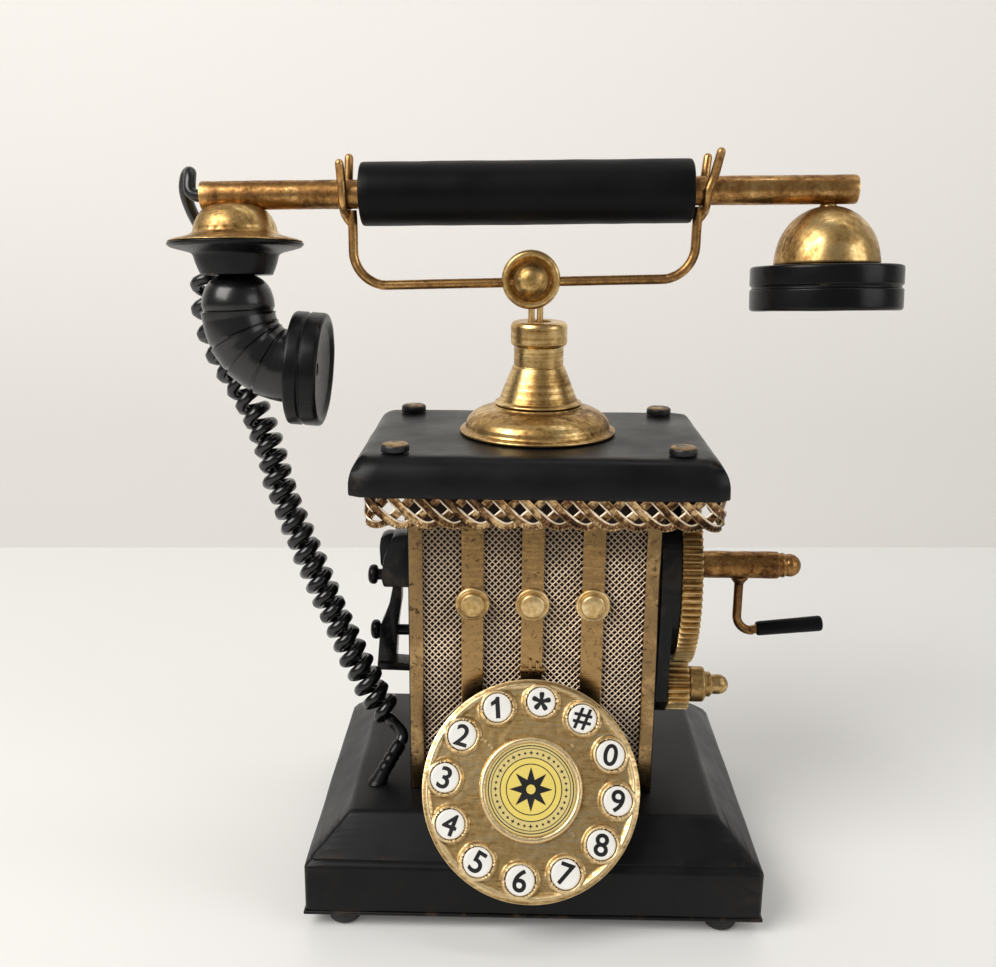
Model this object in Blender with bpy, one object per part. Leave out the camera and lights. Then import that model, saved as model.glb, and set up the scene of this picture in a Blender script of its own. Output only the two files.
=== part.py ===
"""Table-top ornamental crank telephone: push-button dial, geared side crank, lift-off handset.

Every length is in metres. The model is drawn around the axis of the turned pedestal, with the
table at z = 0, +X to the right of someone facing the dial and -Y towards them. One empty puts
that axis where it belongs in the object's frame.
"""
import math

import bmesh
import bpy
from mathutils import Matrix, Vector

# ------------------------------------------------------------------ driving dimensions
PEDESTAL_AXIS = (0.0012, 0.0058)        # where the pedestal stands in the frame
GAP = 0.0003                            # clearance between touching pieces
ROUND = 24                              # sides of a turned piece
SMALL_ROUND = 16                        # sides of a small turned piece

FOOT_HEIGHT = 0.0046
FOOT_RADIUS = 0.0055
FOOT_X, FOOT_Y = 0.0625, 0.0530

BASE_PLATE_Z = (0.0049, 0.0061)
BASE_PLATE_HALF = (0.0754, 0.0597)
SKIRT_HALF = (0.0750, 0.0592)
SKIRT_Z = (0.0064, 0.0228)
DECK_HALF = (0.0610, 0.0449)
DECK_Z = 0.0351
CASTING_WALL = 0.0030

BODY_CENTRE_X = -0.0008                 # the body sits a little left of the pedestal
BODY_HALF = (0.0417, 0.0305)
BODY_Z = (0.0354, 0.1432)
BODY_WALL = 0.0020
MESH_PANEL_Y = (-0.0292, -0.0284)
STRIP_WIDTH = 0.0050
STRIP_THICKNESS = 0.0010
STRAP_WIDTH = 0.0074
STRAP_CENTRES = {"left": -0.0211, "centre": -0.0012, "right": 0.0188}
STUD_Z = 0.1036
STUD_FLANGE_RADIUS, STUD_CAP_RADIUS = 0.0058, 0.0043

COVER_Z = (0.1435, 0.1555)
COVER_HALF = (0.0598, 0.0436)
COVER_TOP_HALF = (0.0538, 0.0366)
BOLT_X, BOLT_Y = 0.0457, 0.0330
BOLT_RADIUS, BOLT_HEIGHT = 0.0045, 0.0028
TRIM_Z = (0.1322, 0.1432)
TRIM_CENTRE_X = 0.0021                  # the trim sits a little right of the pedestal
TRIM_HALF = (0.0575, 0.0416)
TRIM_WALL = 0.0024

FLANGE_Z = 0.1558
FLANGE_RADIUS = 0.0268
STEM_Z = 0.1656
COLLAR_TOP_Z = 0.1936
STEM_FOOT_RADIUS, NECK_RADIUS, COLLAR_RADIUS = 0.0140, 0.0084, 0.00945
SPRING_BORE_RADIUS = 0.0044
SPRING_TURNS = 6

BOSS_CENTRE = (-0.0030, 0.0, 0.2074)
BOSS_RADIUS, BOSS_HALF_THICKNESS = 0.0098, 0.0022
PLUNGER_X, PLUNGER_RADIUS = -0.0012, 0.0011
WIRE_RADIUS = 0.0016
PRONG_RADIUS = 0.0014
CRADLE_LEFT_X, CRADLE_RIGHT_X = -0.0622, 0.0512
FORK_LEFT_X, FORK_RIGHT_X = -0.0645, 0.0534
CRADLE_BEND = 0.0110

HANDSET_MID = (-0.00365, 0.0, 0.23555)  # middle of the handset tube
HANDSET_TILT = math.radians(1.03)       # right-hand end up
HANDSET_ROLL = math.radians(-6.0)       # about the tube, so the caps hang a little forward
TUBE_RADIUS, TUBE_SPAN = 0.0046, (-0.10845, 0.10635)
GRIP_RADIUS, GRIP_SPAN = 0.0103, (-0.0555, 0.0528)
TRANSMITTER_X, RECEIVER_X = -0.0977, 0.0973
ELBOW_RADIUS, ELBOW_BEND, ELBOW_TURN = 0.0120, 0.0190, math.radians(85.0)
ELBOW_BEND_Z = -0.0376
MOUTH_RADIUS, MOUTH_LENGTH, EAR_RADIUS = 0.0190, 0.0112, 0.0246

GEAR_CENTRE_Z = 0.1082
GEAR_TEETH, PINION_TEETH = 85, 20
GEAR_MODULE = 0.0008
GEAR_X = (0.0477, 0.0543)
PINION_X = (0.0455, 0.0530)
PINION_Y = -0.0190
GEAR_PLATE_X = (0.0412, 0.0474)         # thickness of the disc behind the large gear
GEAR_PLATE_LOBE_X = 0.0452              # front of its lobe behind the pinion
SHAFT_RADIUS, SHAFT_END_X = 0.0048, 0.0943
CRANK_ARM_X, CRANK_ARM_RADIUS = 0.0728, 0.0016
CRANK_GRIP_START = (0.0800, 0.0, 0.0840)
CRANK_GRIP_LENGTH = 0.0235
CRANK_GRIP_TILT = math.radians(6.0)

DIAL_CENTRE = (-0.0011, -0.0531, 0.0484)
DIAL_TILT = math.radians(30.0)          # top edge leans back
DIAL_RADIUS = 0.0353
KEY_CIRCLE_RADIUS = 0.0282
KEY_RADIUS, KEY_HOLE_RADIUS = 0.0050, 0.0053
KEY_NAMES = ["star", "hash", "0", "9", "8", "7", "6", "5", "4", "3", "2", "1"]
FIRST_KEY_ANGLE = math.radians(6.5)     # clockwise from the top of the dial
MEDALLION_RADIUS = 0.0175

CORD_RADIUS = 0.00205
CURL_RADIUS = 0.0062

# Routes of the free cord, from the handset tube down to its grommet on the deck.
CORD_HEAD_ROUTE = [
    (-0.1125, 0.0000, 0.2336), (-0.1141, 0.0000, 0.2337), (-0.1158, 0.0005, 0.2352),
    (-0.1161, 0.0018, 0.2386), (-0.1164, 0.0040, 0.2410), (-0.1184, 0.0064, 0.2400),
    (-0.1200, 0.0092, 0.2350), (-0.1198, 0.0140, 0.2290), (-0.1188, 0.0196, 0.2232),
    (-0.1174, 0.0236, 0.2174), (-0.1170, 0.0241, 0.2144), (-0.11718, 0.02349, 0.2120),
]
CURL_ROUTE = [
    (-0.1172, 0.0234, 0.2115), (-0.1176, 0.0218, 0.2040), (-0.1176, 0.0200, 0.1970),
    (-0.1162, 0.0184, 0.1890), (-0.1128, 0.0166, 0.1800), (-0.1078, 0.0146, 0.1716),
    (-0.1026, 0.0118, 0.1640), (-0.0982, 0.0090, 0.1562), (-0.0944, 0.0062, 0.1470),
    (-0.0912, 0.0034, 0.1370), (-0.0878, 0.0012, 0.1272), (-0.0838, -0.0006, 0.1178),
    (-0.0798, -0.0024, 0.1090), (-0.0754, -0.0046, 0.0990), (-0.0708, -0.0068, 0.0892),
    (-0.0656, -0.0092, 0.0788), (-0.0600, -0.0118, 0.0686), (-0.0548, -0.0138, 0.0594),
    (-0.0512, -0.0150, 0.0540),
]
CORD_TAIL_ROUTE = [
    (-0.0509, -0.0151, 0.0536), (-0.0496, -0.0151, 0.0520), (-0.0482, -0.0153, 0.0506),
    (-0.0469, -0.0158, 0.0492), (-0.0463, -0.0165, 0.0478), (-0.0465, -0.0173, 0.0467),
    (-0.0469, -0.0178, 0.0461),
]
GROMMET_TOP = (-0.0472, -0.0182, 0.0457)
GROMMET_FOOT = (-0.0545, -0.0270, DECK_Z + GAP)

# ------------------------------------------------------------------ finishes
BLACK_PAINT = ((0.018, 0.018, 0.019), 0.45, 0.0)
BLACK_PLASTIC = ((0.012, 0.012, 0.013), 0.35, 0.0)
ANTIQUE_BRASS = ((0.42, 0.27, 0.11), 0.42, 1.0)
DIAL_GOLD = ((0.60, 0.45, 0.22), 0.38, 1.0)
LABEL_CREAM = ((0.80, 0.70, 0.36), 0.50, 0.0)
KEY_WHITE = ((0.86, 0.86, 0.82), 0.35, 0.0)
SPRING_STEEL = ((0.45, 0.45, 0.46), 0.35, 1.0)
IRON_GREY = ((0.12, 0.12, 0.12), 0.60, 1.0)


def make_material(name, finish):
    colour, roughness, metallic = finish
    material = bpy.data.materials.new(name)
    material.use_nodes = True
    shader = material.node_tree.nodes["Principled BSDF"]
    shader.inputs["Base Color"].default_value = (*colour, 1.0)
    shader.inputs["Roughness"].default_value = roughness
    shader.inputs["Metallic"].default_value = metallic
    material.diffuse_color = (*colour, 1.0)
    return material


# ------------------------------------------------------------------ modelling helpers
def add_object(name, bm, finish, parent):
    """Turn a bmesh into a named, shaded object under its parent."""
    bmesh.ops.recalc_face_normals(bm, faces=bm.faces)
    mesh = bpy.data.meshes.new(name)
    bm.to_mesh(mesh)
    bm.free()
    mesh.shade_smooth()
    mesh.set_sharp_from_angle(angle=math.radians(35))
    obj = bpy.data.objects.new(name, mesh)
    obj.data.materials.append(make_material(name, finish))
    bpy.context.scene.collection.objects.link(obj)
    obj.parent = parent
    return obj


def add_empty(name, parent, location, rotation=(0.0, 0.0, 0.0)):
    empty = bpy.data.objects.new(name, None)
    empty.empty_display_size = 0.01
    empty.location = location
    empty.rotation_euler = rotation
    empty.parent = parent
    bpy.context.scene.collection.objects.link(empty)
    return empty


def place(obj, location, rotation=(0.0, 0.0, 0.0)):
    obj.location = location
    obj.rotation_euler = rotation
    return obj


def skin_rings(bm, rings):
    """Join closed rings of points in order. A ring of one point closes an end."""
    made = [[bm.verts.new(point) for point in ring] for ring in rings]
    for lower, upper in zip(made, made[1:]):
        count = max(len(lower), len(upper))
        for i in range(count):
            j = (i + 1) % count
            corners = [lower[i % len(lower)], lower[j % len(lower)],
                       upper[j % len(upper)], upper[i % len(upper)]]
            corners = list(dict.fromkeys(corners))
            bm.faces.new(corners)
    for ring in (made[0], made[-1]):
        if len(ring) > 2:
            bm.faces.new(ring)


def turned(name, profile, finish, parent, sides=ROUND):
    """A solid of revolution about +Z. The profile is (radius, height) from one end to the other."""
    bm = bmesh.new()
    rings = []
    for radius, height in profile:
        if radius == 0.0:
            rings.append([Vector((0.0, 0.0, height))])
            continue
        rings.append([Vector((radius * math.cos(2 * math.pi * i / sides),
                              radius * math.sin(2 * math.pi * i / sides), height))
                      for i in range(sides)])
    skin_rings(bm, rings)
    return add_object(name, bm, finish, parent)


def turned_ring(name, profile, finish, parent, sides=ROUND):
    """A revolved closed outline that doesn't reach the axis: a bush, a sleeve or a ring."""
    bm = bmesh.new()
    rings = [[bm.verts.new((radius * math.cos(2 * math.pi * i / sides),
                            radius * math.sin(2 * math.pi * i / sides), height))
              for i in range(sides)] for radius, height in profile]
    for k, ring in enumerate(rings):
        following = rings[(k + 1) % len(rings)]
        for i in range(sides):
            j = (i + 1) % sides
            bm.faces.new([ring[i], ring[j], following[j], following[i]])
    return add_object(name, bm, finish, parent)


def extruded(name, outline, axis, start, end, finish, parent):
    """A prism: a flat outline in the plane across an axis, from start to end along it."""
    def point(a, b, along):
        if axis == "X":
            return (along, a, b)
        if axis == "Y":
            return (a, along, b)
        return (a, b, along)
    bm = bmesh.new()
    skin_rings(bm, [[point(a, b, start) for a, b in outline],
                    [point(a, b, end) for a, b in outline]])
    return add_object(name, bm, finish, parent)


def box(name, low, high, finish, parent, bevel=0.0):
    outline = [(low[0], low[1]), (high[0], low[1]), (high[0], high[1]), (low[0], high[1])]
    obj = extruded(name, outline, "Z", low[2], high[2], finish, parent)
    if bevel:
        add_bevel(obj, bevel)
    return obj


def add_bevel(obj, width, segments=1):
    modifier = obj.modifiers.new("edge_round", "BEVEL")
    modifier.width = width
    modifier.segments = segments
    modifier.limit_method = "ANGLE"
    modifier.angle_limit = math.radians(30)


def combine(obj, other, operation, solver="EXACT"):
    """Cut other from obj, or add it. The other object only guides the cut."""
    modifier = obj.modifiers.new(operation.lower(), "BOOLEAN")
    modifier.operation = operation
    modifier.solver = solver
    modifier.object = other
    other.hide_render = True
    other.display_type = "WIRE"


def smooth_points(route, spacing):
    """Points along a Catmull-Rom curve through the route, about one spacing apart."""
    knots = [Vector(p) for p in route]
    ends = [knots[0] * 2 - knots[1]] + knots + [knots[-1] * 2 - knots[-2]]
    points = [knots[0]]
    for before, start, end, after in zip(ends, ends[1:], ends[2:], ends[3:]):
        steps = max(1, round((end - start).length / spacing))
        for k in range(1, steps + 1):
            t = k / steps
            points.append(0.5 * (2 * start + (end - before) * t
                                 + (2 * before - 5 * start + 4 * end - after) * t * t
                                 + (3 * start - before - 3 * end + after) * t ** 3))
    return points


def tube(name, points, radius, finish, parent, bevel_resolution=2):
    """A round tube along a list of points, as a curve with filled ends."""
    curve = bpy.data.curves.new(name, "CURVE")
    curve.dimensions = "3D"
    curve.bevel_depth = radius
    curve.bevel_resolution = bevel_resolution
    curve.use_fill_caps = True
    spline = curve.splines.new("POLY")
    spline.points.add(len(points) - 1)
    for target, point in zip(spline.points, points):
        target.co = (*point, 1.0)
    curve.materials.append(make_material(name, finish))
    obj = bpy.data.objects.new(name, curve)
    bpy.context.scene.collection.objects.link(obj)
    obj.parent = parent
    return obj


def tube_mesh(name, points, radius, finish, parent, sides=12):
    """A round wire along a list of points, as a mesh that can be cut or joined."""
    points = [Vector(p) for p in points]
    bm = bmesh.new()
    rings = []
    side_way = None
    for i, point in enumerate(points):
        ahead = (points[min(i + 1, len(points) - 1)] - points[max(i - 1, 0)]).normalized()
        if side_way is None:
            side_way = ahead.orthogonal().normalized()
        side_way = (side_way - ahead * side_way.dot(ahead)).normalized()
        other_way = ahead.cross(side_way)
        rings.append([point + radius * (math.cos(a) * side_way + math.sin(a) * other_way)
                      for a in (2 * math.pi * k / sides for k in range(sides))])
    skin_rings(bm, rings)
    return add_object(name, bm, finish, parent)


def arc(centre, radius, start, end, steps):
    """Flat arc points (a, b) about a centre, angles in degrees."""
    angles = [math.radians(start + (end - start) * k / steps) for k in range(steps + 1)]
    return [(centre[0] + radius * math.cos(t), centre[1] + radius * math.sin(t)) for t in angles]


def rounded_rectangle(half_x, half_y, radius, steps=3):
    outline = []
    for sx, sy, start in ((1, 1, 0), (-1, 1, 90), (-1, -1, 180), (1, -1, 270)):
        outline += arc((sx * (half_x - radius), sy * (half_y - radius)), radius,
                       start, start + 90, steps)
    return outline


def dome(radius, base, height, steps):
    """Profile of an elliptical dome from its rim up to the axis."""
    points = [(radius * math.cos(0.5 * math.pi * k / steps),
               base + height * math.sin(0.5 * math.pi * k / steps)) for k in range(steps)]
    return points + [(0.0, base + height)]


# ------------------------------------------------------------------ base
def build_base(axis):
    for side_x, label_x in ((-1, "left"), (1, "right")):
        for side_y, label_y in ((-1, "front"), (1, "rear")):
            profile = [(0.0, 0.0), (FOOT_RADIUS - 0.0012, 0.0), (FOOT_RADIUS - 0.0003, 0.0009),
                       (FOOT_RADIUS, 0.0022), (FOOT_RADIUS, FOOT_HEIGHT), (0.0, FOOT_HEIGHT)]
            foot = turned(f"foot_{label_y}_{label_x}", profile, BLACK_PLASTIC, axis, SMALL_ROUND)
            place(foot, (side_x * FOOT_X, side_y * FOOT_Y, 0.0))

    half_x, half_y = BASE_PLATE_HALF
    box("base_plate", (-half_x, -half_y, BASE_PLATE_Z[0]), (half_x, half_y, BASE_PLATE_Z[1]),
        BLACK_PAINT, axis, bevel=0.0003)

    def level(half, z, inset=0.0):
        hx, hy = half[0] - inset, half[1] - inset
        return [Vector((-hx, -hy, z)), Vector((hx, -hy, z)), Vector((hx, hy, z)), Vector((-hx, hy, z))]
    bm = bmesh.new()
    rings = [level(SKIRT_HALF, SKIRT_Z[0], CASTING_WALL), level(SKIRT_HALF, SKIRT_Z[0]),
             level(SKIRT_HALF, SKIRT_Z[1]), level(DECK_HALF, DECK_Z)]
    under = DECK_Z - CASTING_WALL
    inner = [level(SKIRT_HALF, SKIRT_Z[1] - 0.001, CASTING_WALL), level(DECK_HALF, under, 0.002)]
    made = [[bm.verts.new(p) for p in ring] for ring in [inner[1], inner[0]] + rings]
    for lower, upper in zip(made, made[1:]):
        for i in range(4):
            j = (i + 1) % 4
            bm.faces.new([lower[i], lower[j], upper[j], upper[i]])
    bm.faces.new(made[0])
    bm.faces.new(made[-1])
    plinth = add_object("base_plinth", bm, BLACK_PAINT, axis)
    add_bevel(plinth, 0.0008)


# ------------------------------------------------------------------ body
def build_body(axis):
    body = add_empty("body_axis", axis, (BODY_CENTRE_X, 0.0, 0.0))
    half_x, half_y = BODY_HALF
    front = MESH_PANEL_Y[0]
    inner_x, inner_y = half_x - BODY_WALL, half_y - BODY_WALL
    outline = [(-half_x, front), (-inner_x, front), (-inner_x, inner_y), (inner_x, inner_y),
               (inner_x, front), (half_x, front), (half_x, half_y), (-half_x, half_y)]
    shell = extruded("housing_shell", outline, "Z", *BODY_Z, BLACK_PAINT, body)
    for centre, radius, label in (((0.0, GEAR_CENTRE_Z), 0.0034, "shaft"),
                                  ((PINION_Y, pinion_centre_z()), 0.0027, "pinion")):
        cutter = turned(f"cut_shell_{label}", [(0.0, -0.004), (radius, -0.004), (radius, 0.004),
                                               (0.0, 0.004)], BLACK_PAINT, body, SMALL_ROUND)
        place(cutter, (half_x - BODY_WALL / 2, *centre), (0.0, math.pi / 2, 0.0))
        combine(shell, cutter, "DIFFERENCE")

    panel_half = inner_x - GAP
    box("front_mesh", (-panel_half, MESH_PANEL_Y[0] + GAP, BODY_Z[0]),
        (panel_half, MESH_PANEL_Y[1], BODY_Z[1]), ANTIQUE_BRASS, body)

    strip_back = front - GAP
    for side, label in ((-1, "left"), (1, "right")):
        x_edges = sorted((side * half_x, side * (half_x - STRIP_WIDTH)))
        box(f"corner_strip_{label}", (x_edges[0], strip_back - STRIP_THICKNESS, BODY_Z[0]),
            (x_edges[1], strip_back, BODY_Z[1]), ANTIQUE_BRASS, body, bevel=0.0002)

    for label, centre in STRAP_CENTRES.items():
        strap = box(f"strap_{label}",
                    (centre - STRAP_WIDTH / 2, strip_back - STRIP_THICKNESS, BODY_Z[0]),
                    (centre + STRAP_WIDTH / 2, strip_back, BODY_Z[1]), ANTIQUE_BRASS, axis)
        profile = [(0.0, -0.0004), (STUD_FLANGE_RADIUS, -0.0004), (STUD_FLANGE_RADIUS, 0.0006),
                   (STUD_FLANGE_RADIUS - 0.0006, 0.0010), (STUD_CAP_RADIUS + 0.0002, 0.0011)]
        profile += dome(STUD_CAP_RADIUS, 0.0016, 0.0014, 4)
        stud = turned(f"stud_{label}", profile, ANTIQUE_BRASS, axis, 20)
        place(stud, (centre, strip_back - STRIP_THICKNESS, STUD_Z), (math.pi / 2, 0.0, 0.0))
        combine(strap, stud, "UNION")


def build_trim_and_cover(axis):
    bm = bmesh.new()
    half_x, half_y = TRIM_HALF
    loops = []
    for inset, z in ((0.0, TRIM_Z[0]), (0.0, TRIM_Z[1]), (TRIM_WALL, TRIM_Z[1]), (TRIM_WALL, TRIM_Z[0])):
        outline = rounded_rectangle(half_x - inset, half_y - inset, 0.0045 - inset)
        loops.append([bm.verts.new((TRIM_CENTRE_X + x, y, z)) for x, y in outline])
    for k, loop in enumerate(loops):
        following = loops[(k + 1) % 4]
        for i in range(len(loop)):
            j = (i + 1) % len(loop)
            bm.faces.new([loop[i], loop[j], following[j], following[i]])
    add_object("lattice_trim", bm, ANTIQUE_BRASS, axis)

    bottom, top = COVER_Z
    steps = 6
    rings = []
    for half, z, radius in ((COVER_HALF, bottom, 0.002), (COVER_HALF, bottom + 0.0022, 0.002)):
        rings.append([(x, y, z) for x, y in rounded_rectangle(*half, radius)])
    for k in range(1, steps + 1):
        swell = math.sin(0.5 * math.pi * k / steps)
        inset = 1.0 - math.cos(0.5 * math.pi * k / steps)
        hx = COVER_HALF[0] + (COVER_TOP_HALF[0] - COVER_HALF[0]) * inset
        hy = COVER_HALF[1] + (COVER_TOP_HALF[1] - COVER_HALF[1]) * inset
        z = bottom + 0.0022 + (top - bottom - 0.0022) * swell
        rings.append([(x, y, z) for x, y in rounded_rectangle(hx, hy, 0.002)])
    bm = bmesh.new()
    skin_rings(bm, rings)
    add_object("top_cover", bm, BLACK_PAINT, axis)

    for side_x, label_x in ((-1, "left"), (1, "right")):
        for side_y, label_y in ((-1, "front"), (1, "rear")):
            profile = [(0.0, 0.0), (BOLT_RADIUS, 0.0), (BOLT_RADIUS, BOLT_HEIGHT - 0.0009),
                       (BOLT_RADIUS - 0.0006, BOLT_HEIGHT - 0.0002),
                       (BOLT_RADIUS - 0.0018, BOLT_HEIGHT), (0.0, BOLT_HEIGHT)]
            bolt = turned(f"cover_bolt_{label_y}_{label_x}", profile, BLACK_PAINT, axis, SMALL_ROUND)
            place(bolt, (side_x * BOLT_X, side_y * BOLT_Y, top + GAP))


# ------------------------------------------------------------------ pedestal and cradle
def build_pedestal(axis):
    base = FLANGE_Z
    flange = [(0.0, base), (FLANGE_RADIUS - 0.0002, base), (FLANGE_RADIUS, base + 0.0006),
              (FLANGE_RADIUS - 0.0006, base + 0.0014), (0.0247, base + 0.0020),
              (0.0245, base + 0.0038), (0.0235, base + 0.0054), (0.0205, base + 0.0074),
              (0.0172, base + 0.0086), (0.0150, base + 0.0090), (0.0150, STEM_Z - GAP),
              (0.0, STEM_Z - GAP)]
    turned("pedestal_flange", flange, ANTIQUE_BRASS, axis)

    bore_top = COLLAR_TOP_Z - 0.0110
    outer = [(SPRING_BORE_RADIUS, STEM_Z), (STEM_FOOT_RADIUS + 0.0004, STEM_Z),
             (STEM_FOOT_RADIUS + 0.0004, STEM_Z + 0.0006), (STEM_FOOT_RADIUS - 0.0006, STEM_Z + 0.0012),
             (0.0110, 0.1722), (NECK_RADIUS + 0.0003, 0.1776), (NECK_RADIUS, 0.1786),
             (NECK_RADIUS, 0.1853), (COLLAR_RADIUS - 0.0003, 0.1857), (COLLAR_RADIUS, 0.1864),
             (COLLAR_RADIUS, 0.1924), (COLLAR_RADIUS - 0.0005, 0.1932),
             (COLLAR_RADIUS - 0.0014, COLLAR_TOP_Z)]
    inner = [(PLUNGER_RADIUS + 0.0030, COLLAR_TOP_Z), (PLUNGER_RADIUS + 0.0030, bore_top),
             (SPRING_BORE_RADIUS, bore_top)]
    turned_ring("pedestal_stem", outer + inner, ANTIQUE_BRASS, axis)

    spring_low, spring_high = STEM_Z + 0.0012, 0.1766
    points = []
    per_turn = 8
    for k in range(SPRING_TURNS * per_turn + 1):
        turn = 2 * math.pi * k / per_turn
        z = spring_low + (spring_high - spring_low) * k / (SPRING_TURNS * per_turn)
        points.append((0.0032 * math.cos(turn), 0.0032 * math.sin(turn), z))
    tube_mesh("hook_spring", points, 0.0004, SPRING_STEEL, axis, sides=5)


def tube_axis_z(x):
    """Height of the handset tube's axis above the table, at a place along the pedestal's X."""
    return HANDSET_MID[2] + math.tan(HANDSET_TILT) * (x - HANDSET_MID[0])


def fork_points(x, front_tip, back_tip, steps=8):
    """A U of wire around the handset tube: up from the front tip, under, up to the back tip."""
    reach = TUBE_RADIUS + GAP + 0.0001 + PRONG_RADIUS
    centre_z = tube_axis_z(x)
    points = [front_tip, ((front_tip[0] + x) / 2, -reach, centre_z + 0.0045)]
    for y, z in arc((0.0, centre_z), reach, 180, 360, steps):
        points.append((x, y, z))
    return points + [((back_tip[0] + x) / 2, reach, centre_z + 0.0045), back_tip]


def build_cradle(axis):
    slope = math.tan(math.radians(1.78))
    def rail_z(x):
        return BOSS_CENTRE[2] - 0.0008 + slope * (x - BOSS_CENTRE[0])
    clear = TUBE_RADIUS + GAP + 0.0002
    left_rail = rail_z(CRADLE_LEFT_X + CRADLE_BEND)
    right_rail = rail_z(CRADLE_RIGHT_X - CRADLE_BEND)
    path = [(CRADLE_LEFT_X - 0.0002, tube_axis_z(CRADLE_LEFT_X) - clear),
            (CRADLE_LEFT_X, tube_axis_z(CRADLE_LEFT_X) - clear - 0.0050)]
    path += arc((CRADLE_LEFT_X + CRADLE_BEND, left_rail + CRADLE_BEND), CRADLE_BEND, 180, 270, 7)
    path += [(BOSS_CENTRE[0], rail_z(BOSS_CENTRE[0]))]
    path += arc((CRADLE_RIGHT_X - CRADLE_BEND, right_rail + CRADLE_BEND), CRADLE_BEND, 270, 360, 7)
    path += [(CRADLE_RIGHT_X + 0.0001, tube_axis_z(CRADLE_RIGHT_X) - clear - 0.0050),
             (CRADLE_RIGHT_X + 0.0005, tube_axis_z(CRADLE_RIGHT_X) - clear)]
    cradle = tube_mesh("cradle_wire", [(x, 0.0, z) for x, z in path], WIRE_RADIUS, ANTIQUE_BRASS, axis)
    for label, x, front, back in (
            ("left", FORK_LEFT_X, (-0.0650, -0.0078, 0.2441), (-0.0640, 0.0072, 0.2461)),
            ("right", FORK_RIGHT_X, (0.0566, -0.0078, 0.2486), (0.0548, 0.0070, 0.2472))):
        fork = tube_mesh(f"fork_{label}", fork_points(x, front, back), PRONG_RADIUS, ANTIQUE_BRASS,
                         axis, sides=10)
        combine(cradle, fork, "UNION")

    profile = [(0.0, -BOSS_HALF_THICKNESS - 0.0034), (0.0040, -BOSS_HALF_THICKNESS - 0.0026),
               (0.0062, -BOSS_HALF_THICKNESS - 0.0006), (0.0066, -BOSS_HALF_THICKNESS),
               (BOSS_RADIUS - 0.0008, -BOSS_HALF_THICKNESS), (BOSS_RADIUS, -BOSS_HALF_THICKNESS + 0.0008),
               (BOSS_RADIUS, BOSS_HALF_THICKNESS - 0.0008), (BOSS_RADIUS - 0.0008, BOSS_HALF_THICKNESS),
               (0.0070, BOSS_HALF_THICKNESS - 0.0004)]
    profile += dome(0.0066, BOSS_HALF_THICKNESS - 0.0002, 0.0054, 5)
    boss = turned("cradle_boss", profile, ANTIQUE_BRASS, axis)
    place(boss, BOSS_CENTRE, (math.pi / 2, 0.0, 0.0))
    bore = tube_mesh("cut_boss", [(BOSS_CENTRE[0] - 0.014, 0.0, rail_z(BOSS_CENTRE[0] - 0.014)),
                                  (BOSS_CENTRE[0] + 0.014, 0.0, rail_z(BOSS_CENTRE[0] + 0.014))],
                     WIRE_RADIUS + GAP, ANTIQUE_BRASS, axis)
    combine(boss, bore, "DIFFERENCE")
    rod_top = BOSS_CENTRE[2] - BOSS_RADIUS + 0.0012
    for label, x in (("a", PLUNGER_X - 0.0014), ("b", PLUNGER_X + 0.0014)):
        rod = turned(f"plunger_rod_{label}", [(0.0, 0.1775), (PLUNGER_RADIUS, 0.1775),
                                              (PLUNGER_RADIUS, rod_top), (0.0, rod_top)],
                     ANTIQUE_BRASS, axis, 10)
        place(rod, (x, 0.0, 0.0))
        combine(boss, rod, "UNION")
    foot = turned("plunger_foot", [(0.0, 0.1770), (0.0037, 0.1770), (0.0037, 0.1785), (0.0, 0.1785)],
                  ANTIQUE_BRASS, axis, SMALL_ROUND)
    combine(boss, foot, "UNION")


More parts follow.
